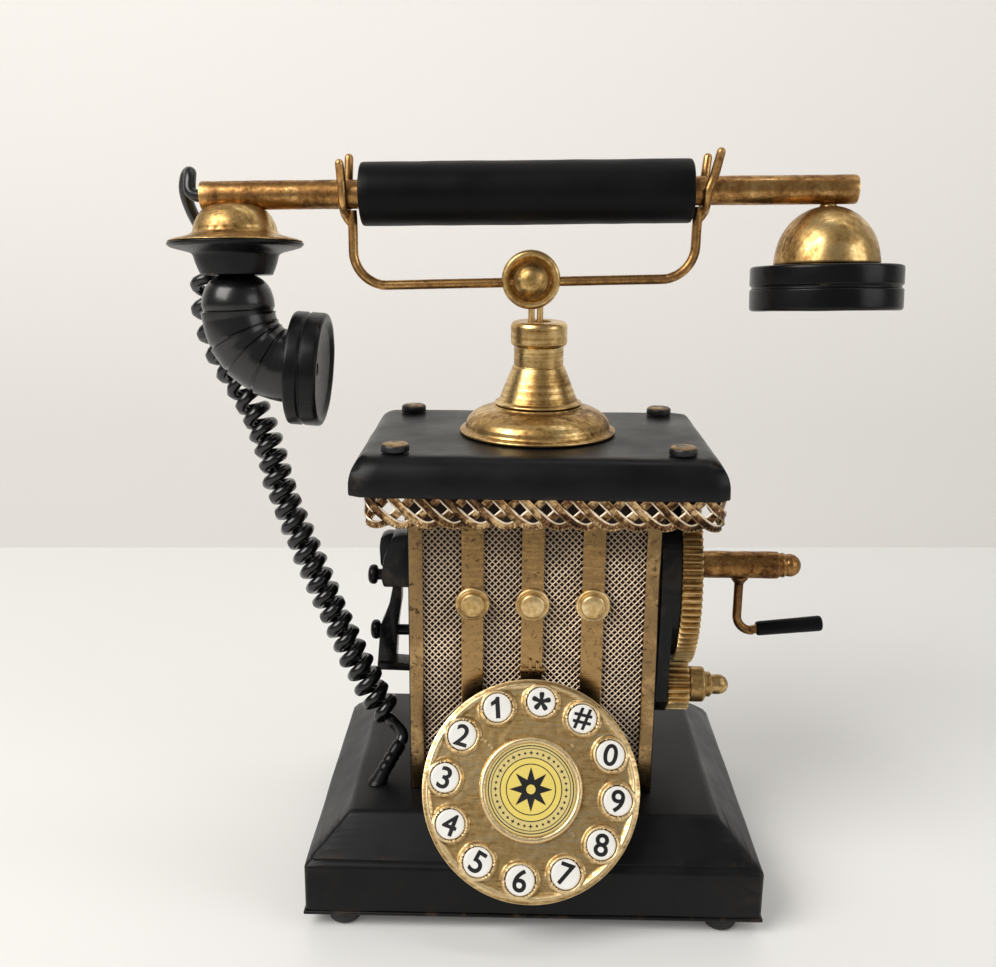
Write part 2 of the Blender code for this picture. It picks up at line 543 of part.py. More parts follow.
# ------------------------------------------------------------------ handset
def build_handset(axis):
    hand = add_empty("handset_axis", axis, HANDSET_MID, (HANDSET_ROLL, -HANDSET_TILT, 0.0))
    along_x = (0.0, math.pi / 2, 0.0)
    left, right = TUBE_SPAN
    place(turned("handset_tube", [(0.0, left), (TUBE_RADIUS - 0.0005, left), (TUBE_RADIUS, left + 0.0005),
                                  (TUBE_RADIUS, right - 0.0005), (TUBE_RADIUS - 0.0005, right), (0.0, right)],
                 ANTIQUE_BRASS, hand, 24), (0.0, 0.0, 0.0), along_x)
    low, high = GRIP_SPAN
    bore = TUBE_RADIUS + GAP
    place(turned_ring("grip_sleeve", [(bore, low), (GRIP_RADIUS - 0.0007, low), (GRIP_RADIUS, low + 0.0007),
                                      (GRIP_RADIUS, high - 0.0007), (GRIP_RADIUS - 0.0007, high),
                                      (bore, high)], BLACK_PAINT, hand), (0.0, 0.0, 0.0), along_x)

    groove = turned("cut_saddle", [(0.0, -0.03), (TUBE_RADIUS + GAP, -0.03), (TUBE_RADIUS + GAP, 0.03),
                                   (0.0, 0.03)], ANTIQUE_BRASS, hand, 24)
    place(groove, (TRANSMITTER_X, 0.0, 0.0), along_x)
    bell = [(0.0, -0.0157), (0.0218, -0.0157), (0.0221, -0.0152), (0.0218, -0.0146),
            (0.0160, -0.0130), (0.0141, -0.0120), (0.0136, -0.0102), (0.0122, -0.0070),
            (0.0099, -0.0042), (0.0066, -0.0028), (0.0, -0.0026)]
    dome_piece = place(turned("transmitter_dome", bell, ANTIQUE_BRASS, hand), (TRANSMITTER_X, 0.0, 0.0))
    combine(dome_piece, groove, "DIFFERENCE")
    cup = [(0.0, -0.0160), (0.0217, -0.0160), (0.0213, -0.0167), (0.0160, -0.0182),
           (0.0141, -0.0190), (0.0137, -0.0199), (0.0118, -0.0258), (0.0, -0.0258)]
    place(turned("transmitter_cup", cup, BLACK_PLASTIC, hand), (TRANSMITTER_X, 0.0, 0.0))
    build_elbow(hand)

    ear_dome = [(0.0149, -0.0242), (0.0166, -0.0242), (0.0169, -0.0236)]
    ear_dome += dome(0.0169, -0.0232, 0.0181, 8)[1:]
    hollow = [(0.0, -0.0078), (0.0060, -0.0086), (0.0100, -0.0116), (0.0130, -0.0168)]
    place(turned("receiver_dome", hollow + ear_dome, ANTIQUE_BRASS, hand), (RECEIVER_X, 0.0, 0.0))
    ear = EAR_RADIUS
    cap = [(0.0, -0.0245), (ear - 0.0007, -0.0245), (ear, -0.0252), (ear, -0.0308),
           (ear - 0.0006, -0.0312), (ear - 0.0006, -0.0318), (ear, -0.0322), (ear, -0.0384),
           (ear - 0.0007, -0.0391), (0.0202, -0.0391), (0.0190, -0.0376), (0.0183, -0.0311),
           (0.0, -0.0305)]
    place(turned("receiver_cap", cap, BLACK_PLASTIC, hand), (RECEIVER_X, 0.0, 0.0))


def build_elbow(hand):
    """The neck below the transmitter's cup, and the mouthpiece that it carries."""
    sections = [((TRANSMITTER_X, z), 0.0, radius) for z, radius in (
        (-0.0261, 0.0062), (-0.0273, 0.0083), (-0.0292, 0.0101), (-0.0316, 0.0113), (-0.0344, 0.0119))]
    bend_steps = 6
    for k in range(bend_steps + 1):
        angle = ELBOW_TURN * k / bend_steps
        sections.append(((TRANSMITTER_X + ELBOW_BEND * (1 - math.cos(angle)),
                          ELBOW_BEND_Z - ELBOW_BEND * math.sin(angle)), angle, ELBOW_RADIUS))
    rings = []
    for (x, z), angle, radius in sections:
        ring = []
        for i in range(ROUND):
            turn = 2 * math.pi * i / ROUND
            across = radius * math.cos(turn)
            ring.append((x + across * math.cos(angle), radius * math.sin(turn),
                         z + across * math.sin(angle)))
        rings.append(ring)
    bm = bmesh.new()
    skin_rings(bm, rings)
    add_object("transmitter_elbow", bm, BLACK_PLASTIC, hand)

    end = MOUTH_LENGTH
    mouth = [(0.0, GAP), (MOUTH_RADIUS - 0.0006, GAP), (MOUTH_RADIUS, GAP + 0.0006),
             (MOUTH_RADIUS, 0.0046), (MOUTH_RADIUS - 0.0006, 0.0049), (MOUTH_RADIUS - 0.0006, 0.0055),
             (MOUTH_RADIUS, 0.0058), (MOUTH_RADIUS, end - 0.0009), (MOUTH_RADIUS - 0.0009, end),
             (MOUTH_RADIUS - 0.0022, end), (0.0150, end - 0.0012), (0.0060, end - 0.0026),
             (0.0024, end - 0.0028), (0.0020, end - 0.0055), (0.0, end - 0.0055)]
    (end_x, end_z), angle, _ = sections[-1]
    place(turned("mouthpiece", mouth, BLACK_PLASTIC, hand), (end_x, 0.0, end_z), (0.0, math.pi - angle, 0.0))


# ------------------------------------------------------------------ crank and gears
def pinion_centre_z():
    distance = GEAR_MODULE * (GEAR_TEETH + PINION_TEETH) / 2
    return GEAR_CENTRE_Z - math.sqrt(distance ** 2 - PINION_Y ** 2)


def gear_outline(teeth, centre, tooth_at):
    """Straight-flanked gear outline, with a tooth's middle at the given angle."""
    pitch_radius = GEAR_MODULE * teeth / 2
    root, tip = pitch_radius - 1.2 * GEAR_MODULE, pitch_radius + 0.92 * GEAR_MODULE
    backlash = 0.10 * GEAR_MODULE
    half_root = (0.785 * GEAR_MODULE + 1.2 * 0.34 * GEAR_MODULE - backlash) / root
    half_tip = (0.785 * GEAR_MODULE - 0.92 * 0.40 * GEAR_MODULE - backlash) / tip
    outline = []
    for k in range(teeth):
        middle = tooth_at + 2 * math.pi * k / teeth
        for radius, offset in ((root, -half_root), (tip, -half_tip), (tip, half_tip), (root, half_root)):
            outline.append((centre[0] + radius * math.cos(middle + offset),
                            centre[1] + radius * math.sin(middle + offset)))
    return outline


def bore_cutter(name, centre, radius, span, axis, sides=24):
    cutter = turned(name, [(0.0, span[0]), (radius, span[0]), (radius, span[1]), (0.0, span[1])],
                    BLACK_PAINT, axis, sides)
    return place(cutter, (0.0, *centre), (0.0, math.pi / 2, 0.0))


def build_crank(axis):
    gear_at, pinion_at = (0.0, GEAR_CENTRE_Z), (PINION_Y, pinion_centre_z())
    line = math.atan2(pinion_at[1] - gear_at[1], pinion_at[0] - gear_at[0])

    start, end = GEAR_PLATE_X
    around = math.degrees(line)
    lobe = arc(gear_at, 0.0325, around + 60, around + 300, 24)
    lobe += arc(pinion_at, 0.0092, around - 60, around + 60, 8)
    plate = extruded("gear_plate", lobe, "X", start, GEAR_PLATE_LOBE_X, BLACK_PAINT, axis)
    disc = extruded("plate_disc", arc(gear_at, 0.0325, 0, 352.5, 47), "X", start + 0.0010, end,
                    BLACK_PAINT, axis)
    combine(plate, disc, "UNION")
    combine(plate, bore_cutter("cut_plate_shaft", gear_at, 0.0061, (0.030, 0.060), axis), "DIFFERENCE")
    combine(plate, bore_cutter("cut_plate_pinion", pinion_at, 0.0026, (0.030, 0.060), axis), "DIFFERENCE")
    bush = turned_ring("crank_bearing", [(0.0034, start), (0.0058, start), (0.0058, end), (0.0034, end)],
                       ANTIQUE_BRASS, axis, 20)
    place(bush, (0.0, *gear_at), (0.0, math.pi / 2, 0.0))

    crank = add_empty("crank_axis", axis, (0.0, *gear_at))
    along_x = (0.0, math.pi / 2, 0.0)
    gear_start, gear_end = GEAR_X
    gear = extruded("crank_gear", gear_outline(GEAR_TEETH, (0.0, 0.0), line + math.pi / GEAR_TEETH),
                    "X", gear_start, gear_end, ANTIQUE_BRASS, crank)
    hub_cut = turned("cut_gear_bore", [(0.0, 0.04), (SHAFT_RADIUS + GAP, 0.04), (SHAFT_RADIUS + GAP, 0.06),
                                       (0.0, 0.06)], BLACK_PAINT, crank, 24)
    place(hub_cut, (0.0, 0.0, 0.0), along_x)
    combine(gear, hub_cut, "DIFFERENCE")

    radius, tip = SHAFT_RADIUS, SHAFT_END_X
    shaft_profile = [(0.0, 0.0345), (0.0030, 0.0345), (0.0030, gear_start - 0.0001),
                     (radius, gear_start - 0.0001), (radius, 0.0860), (radius - 0.0006, 0.0866),
                     (radius - 0.0004, 0.0880), (radius - 0.0009, 0.0886), (radius - 0.0006, 0.0896),
                     (radius - 0.0008, 0.0912), (radius - 0.0018, 0.0928), (radius - 0.0034, tip - 0.0003),
                     (0.0, tip)]
    shaft = place(turned("crank_shaft", shaft_profile, ANTIQUE_BRASS, crank, 24), (0.0, 0.0, 0.0), along_x)
    grip_x, _, grip_z = CRANK_GRIP_START
    rise = math.tan(CRANK_GRIP_TILT)
    arm = [(CRANK_ARM_X, 0.0, -0.0030), (CRANK_ARM_X, 0.0, -0.0080), (CRANK_ARM_X, 0.0, -0.0150)]
    corner_z = grip_z - GEAR_CENTRE_Z - rise * (grip_x - CRANK_ARM_X)
    for x, z in arc((CRANK_ARM_X + 0.0058, corner_z + 0.0058), 0.0058, 180, 270, 6):
        arm.append((x, 0.0, z))
    reach = grip_x + CRANK_GRIP_LENGTH - 0.0026
    arm.append((grip_x + 0.0004, 0.0, grip_z - GEAR_CENTRE_Z))
    arm.append((reach, 0.0, grip_z - GEAR_CENTRE_Z + rise * (reach - grip_x)))
    arm_piece = tube_mesh("crank_arm", arm, CRANK_ARM_RADIUS, ANTIQUE_BRASS, crank, sides=12)
    combine(shaft, arm_piece, "UNION")
    web = turned("arm_web", [(0.0, -0.0080), (0.0016, -0.0080), (0.0030, -0.0048), (0.0030, -0.0035),
                             (0.0, -0.0035)], ANTIQUE_BRASS, crank, 12)
    place(web, (CRANK_ARM_X, 0.0, 0.0))
    combine(shaft, web, "UNION")

    pin = add_empty("grip_axis", axis, CRANK_GRIP_START, (0.0, math.pi / 2 - CRANK_GRIP_TILT, 0.0))
    length = CRANK_GRIP_LENGTH
    bore = CRANK_ARM_RADIUS + GAP
    grip = [(0.0, length), (0.0023, length), (0.0028, length - 0.0006), (0.0026, 0.0010),
            (0.0023, 0.0), (bore, 0.0), (bore, length - 0.0018), (0.0, length - 0.0018)]
    turned("crank_grip", grip, BLACK_PAINT, pin, SMALL_ROUND)

    spindle = add_empty("pinion_axis", axis, (0.0, *pinion_at))
    pinion = extruded("pinion", gear_outline(PINION_TEETH, (0.0, 0.0), line + math.pi), "X",
                      *PINION_X, ANTIQUE_BRASS, spindle)
    hub = [(0.0, 0.0292), (0.0022, 0.0292), (0.0022, 0.0470), (0.0050, 0.0470), (0.0050, 0.0534),
           (0.0061, 0.0539), (0.0061, 0.0582), (0.0054, 0.0588), (0.0042, 0.0590), (0.0042, 0.0610),
           (0.0034, 0.0616), (0.0034, 0.0642), (0.0028, 0.0659), (0.0016, 0.0670), (0.0, 0.0673)]
    nose = place(turned("pinion_hub", hub, ANTIQUE_BRASS, spindle, 20), (0.0, 0.0, 0.0), along_x)
    combine(pinion, nose, "UNION")

    magneto = box("magneto", (-0.010, -0.0270, 0.0520), (0.0360, 0.0060, 0.0900), IRON_GREY, axis,
                  bevel=0.001)
    combine(magneto, bore_cutter("cut_magneto", pinion_at, 0.0026, (0.0270, 0.0500), axis, SMALL_ROUND),
            "DIFFERENCE")


# ------------------------------------------------------------------ left side bracket
def build_side_bracket(axis):
    side = add_empty("side_axis", axis, (BODY_CENTRE_X, 0.0, 0.0))
    hood = [(-0.0420, 0.0966), (-0.0420, 0.1160), (-0.0492, 0.1160), (-0.0534, 0.1150),
            (-0.0552, 0.1138), (-0.0558, 0.1100), (-0.0556, 0.1034), (-0.0540, 0.0966)]
    bracket = extruded("side_bracket", hood, "Y", 0.0030, 0.0150, BLACK_PAINT, side)
    arm = [(-0.0475, 0.0990), (-0.0477, 0.0900), (-0.0482, 0.0853), (-0.0490, 0.0813),
           (-0.0499, 0.0656), (-0.0568, 0.0656), (-0.0554, 0.0812), (-0.0537, 0.0852),
           (-0.0520, 0.0899), (-0.0508, 0.0958), (-0.0505, 0.0990)]
    combine(bracket, extruded("bracket_arm", arm, "Y", 0.0040, 0.0120, BLACK_PAINT, side), "UNION")
    shelf = [(-0.0420, 0.0636), (-0.0420, 0.0664), (-0.0568, 0.0674), (-0.0568, 0.0640)]
    combine(bracket, extruded("bracket_shelf", shelf, "Y", 0.0034, 0.0126, BLACK_PAINT, side), "UNION")
    for label, z, tip in (("upper", 0.0999, -0.0599), ("lower", 0.0784, -0.0594)):
        reach = -0.0420 - tip
        pin = [(0.0, 0.0), (0.0020, 0.0), (0.0020, reach - 0.0034), (0.0035, reach - 0.0030),
               (0.0036, reach - 0.0014), (0.0030, reach - 0.0004), (0.0016, reach), (0.0, reach)]
        piece = turned(f"bracket_pin_{label}", pin, BLACK_PAINT, side, SMALL_ROUND)
        place(piece, (-0.0420, 0.0080, z), (0.0, -math.pi / 2, 0.0))
        combine(bracket, piece, "UNION")


# ------------------------------------------------------------------ dial and keys
def key_place(index):
    angle = FIRST_KEY_ANGLE + 2 * math.pi * index / len(KEY_NAMES)
    return KEY_CIRCLE_RADIUS * math.sin(angle), KEY_CIRCLE_RADIUS * math.cos(angle)


def build_dial(axis):
    dial = add_empty("dial_frame", axis, DIAL_CENTRE, (math.pi / 2 - DIAL_TILT, 0.0, 0.0))
    radius = DIAL_RADIUS
    plate_profile = [(0.0, -0.0012), (radius - 0.0004, -0.0012),
                     (radius, -0.0002), (radius - 0.0008, 0.0007), (radius - 0.0024, 0.0), (0.0, 0.0)]
    plate = turned("dial_plate", plate_profile, DIAL_GOLD, dial, 40)
    for index, name in enumerate(KEY_NAMES):
        x, y = key_place(index)
        rim = turned(f"key_rim_{name}", [(0.0, -0.0005), (0.0064, -0.0005), (0.0060, 0.0010),
                                         (0.0, 0.0010)], DIAL_GOLD, dial, SMALL_ROUND)
        combine(plate, place(rim, (x, y, 0.0)), "UNION", "MANIFOLD")
        hole = turned(f"cut_key_{name}", [(0.0, -0.004), (KEY_HOLE_RADIUS, -0.004),
                                          (KEY_HOLE_RADIUS, 0.004), (0.0, 0.004)], DIAL_GOLD, dial,
                      SMALL_ROUND)
        combine(plate, place(hole, (x, y, 0.0)), "DIFFERENCE", "MANIFOLD")
        key_profile = [(0.0, -0.0021), (0.0059, -0.0021), (0.0059, -0.0015), (KEY_RADIUS, -0.0015),
                       (KEY_RADIUS, 0.0009), (0.0, 0.0009)]
        place(turned(f"key_{name}", key_profile, KEY_WHITE, dial, SMALL_ROUND), (x, y, 0.0))

    medallion = [(0.0, GAP), (MEDALLION_RADIUS, GAP), (MEDALLION_RADIUS, 0.0012),
                 (MEDALLION_RADIUS - 0.0005, 0.0017), (MEDALLION_RADIUS - 0.0019, 0.0018),
                 (MEDALLION_RADIUS - 0.0025, 0.0013), (MEDALLION_RADIUS - 0.0026, 0.0009), (0.0, 0.0009)]
    turned("dial_medallion", medallion, DIAL_GOLD, dial, 28)

    back_profile = [(0.0, -0.0048), (0.0340, -0.0048), (0.0348, -0.0040), (0.0348, -0.0015),
                    (0.0343, -0.0015), (0.0343, -0.0036), (0.0, -0.0036)]
    back = turned("dial_back", back_profile, BLACK_PLASTIC, dial, 28)
    front = -BODY_HALF[1] - 0.0006
    _, dial_y, dial_z = DIAL_CENTRE

    def behind_dial(along, depth=0.0042):
        """A point inside the back plate, so far up the dial from its centre."""
        return (dial_y + depth * math.cos(DIAL_TILT) + along * math.sin(DIAL_TILT),
                dial_z - depth * math.sin(DIAL_TILT) + along * math.cos(DIAL_TILT))
    block = [(front, DECK_Z + GAP), (-0.0440, DECK_Z + GAP), behind_dial(-0.006), behind_dial(0.010),
             (front, 0.0610)]
    support = extruded("dial_block", block, "X", DIAL_CENTRE[0] - 0.011, DIAL_CENTRE[0] + 0.011,
                       BLACK_PLASTIC, axis)
    combine(back, support, "UNION")


# ------------------------------------------------------------------ cord
def build_cord(axis):
    tube("cord_head", smooth_points(CORD_HEAD_ROUTE, 0.0035), CORD_RADIUS, BLACK_PLASTIC, axis)
    tube("cord_curl", smooth_points(CURL_ROUTE, 0.0090), CURL_RADIUS, BLACK_PLASTIC, axis)
    tube("cord_tail", smooth_points(CORD_TAIL_ROUTE, 0.0035), CORD_RADIUS, BLACK_PLASTIC, axis)

    top, foot = Vector(GROMMET_TOP), Vector(GROMMET_FOOT)
    upright, leaning = Vector((0.0, 0.0, 1.0)), (top - foot).normalized()
    bm = bmesh.new()
    rings = []
    for share, radius in ((0.0, 0.0032), (0.12, 0.0031), (0.5, 0.0028), (1.0, 0.0024)):
        facing = upright.lerp(leaning, share).normalized()
        sideways = facing.cross(Vector((0.0, 1.0, 0.0))).normalized()
        forward = facing.cross(sideways)
        centre = foot.lerp(top, share)
        rings.append([centre + radius * (math.cos(a) * sideways + math.sin(a) * forward)
                      for a in (2 * math.pi * k / 12 for k in range(12))])
    skin_rings(bm, rings)
    add_object("cord_grommet", bm, BLACK_PLASTIC, axis)


def build():
    for obj in list(bpy.data.objects):
        bpy.data.objects.remove(obj, do_unlink=True)
    axis = add_empty("pedestal_axis", None, (*PEDESTAL_AXIS, 0.0))
    build_base(axis)
    build_body(axis)
    build_trim_and_cover(axis)
    build_pedestal(axis)
    build_cradle(axis)
    build_handset(axis)
    build_crank(axis)
    build_side_bracket(axis)
    build_dial(axis)
    build_cord(axis)
    bpy.context.view_layer.update()


build()
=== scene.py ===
"""Looks of the table-top crank telephone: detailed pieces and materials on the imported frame.

Lengths are in metres. Pieces are drawn around the pedestal's axis, as the frame's solids are, and
moved onto that axis when they are made. Handset pieces are drawn along the handset tube.
"""
import math

import bmesh
import bpy
from mathutils import Matrix, Vector, noise


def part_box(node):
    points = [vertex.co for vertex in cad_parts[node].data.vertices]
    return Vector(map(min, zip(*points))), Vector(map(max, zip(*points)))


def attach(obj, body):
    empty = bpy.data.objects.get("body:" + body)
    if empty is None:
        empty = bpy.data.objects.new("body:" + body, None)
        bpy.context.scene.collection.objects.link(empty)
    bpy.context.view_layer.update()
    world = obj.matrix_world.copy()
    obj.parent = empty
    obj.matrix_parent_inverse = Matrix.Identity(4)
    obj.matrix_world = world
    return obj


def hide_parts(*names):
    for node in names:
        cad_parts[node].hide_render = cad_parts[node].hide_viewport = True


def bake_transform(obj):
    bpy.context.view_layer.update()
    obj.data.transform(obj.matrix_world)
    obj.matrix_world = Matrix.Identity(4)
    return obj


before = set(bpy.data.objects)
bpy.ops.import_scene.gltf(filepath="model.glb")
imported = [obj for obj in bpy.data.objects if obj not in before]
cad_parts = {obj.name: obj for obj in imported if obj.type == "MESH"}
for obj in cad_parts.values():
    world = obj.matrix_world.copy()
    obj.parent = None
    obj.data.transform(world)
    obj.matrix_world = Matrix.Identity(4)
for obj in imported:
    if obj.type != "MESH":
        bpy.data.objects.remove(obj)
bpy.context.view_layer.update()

MM = 0.001
noise.seed_set(7)                                       # otherwise noise_vector starts from the clock


def mm(*points, at=()):
    """Points given in millimetres from at. The rounding gives the very number that metres would."""
    origin = at or (0.0,) * len(points[0])
    return [tuple(o + round(v * MM, 8) for o, v in zip(origin, point)) for point in points]


def middle(node):
    low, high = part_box(node)
    return Vector([(a + b) / 2 for a, b in zip(low, high)])


def height_span(node):
    low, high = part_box(node)
    return low[2], high[2]


# ---------------- places read from the frame
STEM = middle("pedestal_stem")
AXIS = Matrix.Translation((STEM.x, STEM.y, 0.0))        # pedestal axis, standing on the table
HANDSET_TILT = math.radians(1.03)
HANDSET_MID = (-0.00365, 0.0, 0.23555)
HANDSET_ROLL = math.radians(-6.0)
HANDSET = (AXIS @ Matrix.Translation(HANDSET_MID) @ Matrix.Rotation(-HANDSET_TILT, 4, "Y")
           @ Matrix.Rotation(HANDSET_ROLL, 4, "X"))
TRANSMITTER_X, RECEIVER_X = -0.0977, 0.0973
BODY_SHIFT_X = -0.0008
ALONG_X = Matrix.Rotation(math.pi / 2, 4, "Y")          # turns a piece drawn along Z onto X
GEAR_Z = middle("crank_gear").z
PINION = middle("pinion") - STEM
DIAL_TILT = math.radians(30.0)
DIAL_CENTRE = (-0.0011, -0.0531, 0.0484)
DIAL = AXIS @ Matrix.Translation(DIAL_CENTRE) @ Matrix.Rotation(math.pi / 2 - DIAL_TILT, 4, "X")


# ---------------- camera, floor and lights
CAMERA_PLACE = Vector((-0.0072, -0.3810, 0.2369))
CAMERA_PITCH, CAMERA_TURN, CAMERA_ROLL = (math.radians(a) for a in (14.712, -0.942, 0.483))
CAMERA_LENS = 40.68
WALL_TURN = math.radians(2.515)
TABLE_BACK, WALL_Y = 0.356, 0.760


def add_camera():
    ahead = Vector((math.sin(CAMERA_TURN) * math.cos(CAMERA_PITCH),
                    math.cos(CAMERA_TURN) * math.cos(CAMERA_PITCH), -math.sin(CAMERA_PITCH)))
    level = Vector((math.cos(CAMERA_TURN), -math.sin(CAMERA_TURN), 0.0))
    upward = level.cross(ahead)
    right = math.cos(CAMERA_ROLL) * level + math.sin(CAMERA_ROLL) * upward
    top = -math.sin(CAMERA_ROLL) * level + math.cos(CAMERA_ROLL) * upward
    data = bpy.data.cameras.new("camera")
    data.lens = CAMERA_LENS
    data.sensor_width = 36.0
    data.clip_start = 0.01
    camera = bpy.data.objects.new("camera", data)
    turn = Matrix((right, top, -ahead)).transposed().to_4x4()
    camera.matrix_world = AXIS @ Matrix.Translation(CAMERA_PLACE) @ turn
    bpy.context.scene.collection.objects.link(camera)
    bpy.context.scene.camera = camera


def add_area_light(name, place, target, size, power, colour=(1.0, 1.0, 1.0)):
    data = bpy.data.lights.new(name, "AREA")
    data.shape = "RECTANGLE"
    data.size, data.size_y = size
    data.energy = power
    data.color = colour
    light = bpy.data.objects.new(name, data)
    light.location = place
    aim = Vector(target) - Vector(place)
    light.rotation_euler = aim.to_track_quat("-Z", "Y").to_euler()
    bpy.context.scene.collection.objects.link(light)


def add_lights():
    world = bpy.data.worlds.new("world")
    world.use_nodes = True
    background = world.node_tree.nodes["Background"]
    background.inputs["Color"].default_value = (1.0, 0.985, 0.96, 1.0)
    background.inputs["Strength"].default_value = 0.24
    bpy.context.scene.world = world
    bpy.context.scene.view_settings.view_transform = "Standard"
    focus = (0.0, 0.0, 0.12)
    add_area_light("window", (-0.75, -0.60, 0.95), focus, (0.8, 0.8), 16.0, (1.0, 0.98, 0.95))
    add_area_light("fill", (0.9, -0.5, 0.5), focus, (0.6, 0.6), 2.5)
    add_area_light("wall_wash", (0.85, 0.107, 2.05), (0.95, 0.76, 0.20), (2.0, 0.43), 6.6)


# ---------------- node helpers
class Shading:
    """A material's node graph, with short calls for the nodes that the finishes use."""

    def __init__(self, name):
        self.material = bpy.data.materials.new(name)
        self.material.use_nodes = True
        self.tree = self.material.node_tree
        self.shader = self.tree.nodes["Principled BSDF"]
        self.place = self.add("ShaderNodeTexCoord").outputs["Object"]

    def add(self, kind, **values):
        node = self.tree.nodes.new(kind)
        for key, value in values.items():
            setattr(node, key, value)
        return node

    def join(self, output, socket):
        self.tree.links.new(output, socket)
        return self

    def set(self, **values):
        for key, value in values.items():
            self.shader.inputs[key.replace("_", " ")].default_value = value
        return self

    def stretched(self, scale, turn=(0.0, 0.0, 0.0)):
        mapping = self.add("ShaderNodeMapping")
        mapping.inputs["Scale"].default_value = scale
        mapping.inputs["Rotation"].default_value = turn
        self.join(self.place, mapping.inputs["Vector"])
        return mapping.outputs["Vector"]

    def noise(self, scale, detail=4.0, rough=0.55, vector=None, distortion=0.0):
        node = self.add("ShaderNodeTexNoise")
        node.inputs["Scale"].default_value = scale
        node.inputs["Detail"].default_value = detail
        node.inputs["Roughness"].default_value = rough
        node.inputs["Distortion"].default_value = distortion
        self.join(self.place if vector is None else vector, node.inputs["Vector"])
        return node.outputs["Fac"]

    def ramp(self, factor, stops):
        node = self.add("ShaderNodeValToRGB")
        ramp = node.color_ramp
        while len(ramp.elements) < len(stops):
            ramp.elements.new(0.5)
        for element, (position, colour) in zip(ramp.elements, stops):
            element.position = position
            value = colour if isinstance(colour, tuple) else (colour,) * 3
            element.color = (*value, 1.0)
        self.join(factor, node.inputs["Fac"])
        return node.outputs["Color"]

    def mix(self, factor, first, second, mode="MIX"):
        node = self.add("ShaderNodeMix", data_type="RGBA", blend_type=mode)
        for socket, value in zip((node.inputs["Factor"], node.inputs[6], node.inputs[7]),
                                 (factor, first, second)):
            if isinstance(value, (int, float)):
                socket.default_value = value
            elif isinstance(value, tuple):
                socket.default_value = (*value, 1.0)
            else:
                self.join(value, socket)
        return node.outputs[2]

    def maths(self, operation, first, second):
        node = self.add("ShaderNodeMath", operation=operation)
        for socket, value in zip(node.inputs, (first, second)):
            if isinstance(value, (int, float)):
                socket.default_value = value
            else:
                self.join(value, socket)
        return node.outputs[0]

    def bump(self, height, strength, distance):
        node = self.add("ShaderNodeBump")
        node.inputs["Strength"].default_value = strength
        node.inputs["Distance"].default_value = distance
        self.join(height, node.inputs["Height"])
        self.join(node.outputs["Normal"], self.shader.inputs["Normal"])
        return self

    def edges(self, low, high):
        """White along convex edges, from the mesh's own curvature."""
        point = self.add("ShaderNodeNewGeometry").outputs["Pointiness"]
        return self.ramp(point, [(low, 0.0), (high, 1.0)])


def brass_finish(name, dark, brown, gold, bright, level=0.0, streak_turn=(0.0, 0.0, 0.0),
                 streak_scale=(120.0, 900.0, 160.0), weights=(0.46, 0.26, 0.28), pits=0.0,
                 rough=(0.58, 0.25), painted_light_heights=None, metallic=1.0):
    """Cast metal with brushed-on gold over a brown patina. level lifts the share of gold.

    weights share out broad patches, grain and streaks. Between the two heights given for painted light
    the metal turns to its bright colour, a painted highlight.
    """
    s = Shading(name)
    broad = s.noise(45.0, 5.0, 0.6, distortion=0.4)
    grain = s.noise(620.0, 5.0, 0.65)
    streak = s.noise(1.0, 4.0, 0.6, s.stretched(streak_scale, streak_turn))
    mixed = s.maths("ADD", s.maths("MULTIPLY", broad, weights[0]),
                    s.maths("ADD", s.maths("MULTIPLY", grain, weights[1]),
                            s.maths("MULTIPLY", streak, weights[2])))
    colour = s.ramp(mixed, [(0.33 - level, dark), (0.42 - level, brown), (0.51 - level, gold),
                            (0.65 - level, bright)])
    point = s.add("ShaderNodeNewGeometry").outputs["Pointiness"]
    # Convex edges are mixed toward the bright colour: edge wear, and partly a painted highlight.
    worn = s.ramp(point, [(0.505, 0.0), (0.56, 1.0)])
    colour = s.mix(s.maths("MULTIPLY", worn, 0.6), colour, bright)
    # Hollows (low pointiness) darken: patina in the hollows and partly painted shade; the spots add pitting.
    hollow_patina_and_shade = s.ramp(point, [(0.435, 1.0), (0.49, 0.0)])
    spots = s.ramp(s.noise(520.0, 6.0, 0.75, distortion=0.6), [(0.55, 0.0), (0.66, 1.0)])
    grime_and_shade = s.maths("MAXIMUM", s.maths("MULTIPLY", hollow_patina_and_shade, 0.85), s.maths("MULTIPLY", spots, pits))
    # Painted light: between two heights the colour is mixed toward the bright one.
    if painted_light_heights:
        split = s.add("ShaderNodeSeparateXYZ")
        s.join(s.place, split.inputs["Vector"])
        painted_light_share = s.add("ShaderNodeMapRange", clamp=True)
        painted_light_share.inputs["From Min"].default_value, painted_light_share.inputs["From Max"].default_value = painted_light_heights
        s.join(split.outputs["Z"], painted_light_share.inputs["Value"])
        colour = s.mix(s.maths("MULTIPLY", painted_light_share.outputs["Result"], 0.75), colour, bright)
    s.join(s.mix(grime_and_shade, colour, dark), s.shader.inputs["Base Color"])
    s.join(s.ramp(mixed, [(0.35, rough[0]), (0.60, rough[1])]), s.shader.inputs["Roughness"])
    s.set(Metallic=metallic)
    s.bump(s.maths("ADD", s.maths("MULTIPLY", grain, 0.6), streak), 0.35, 0.00018)
    return s.material


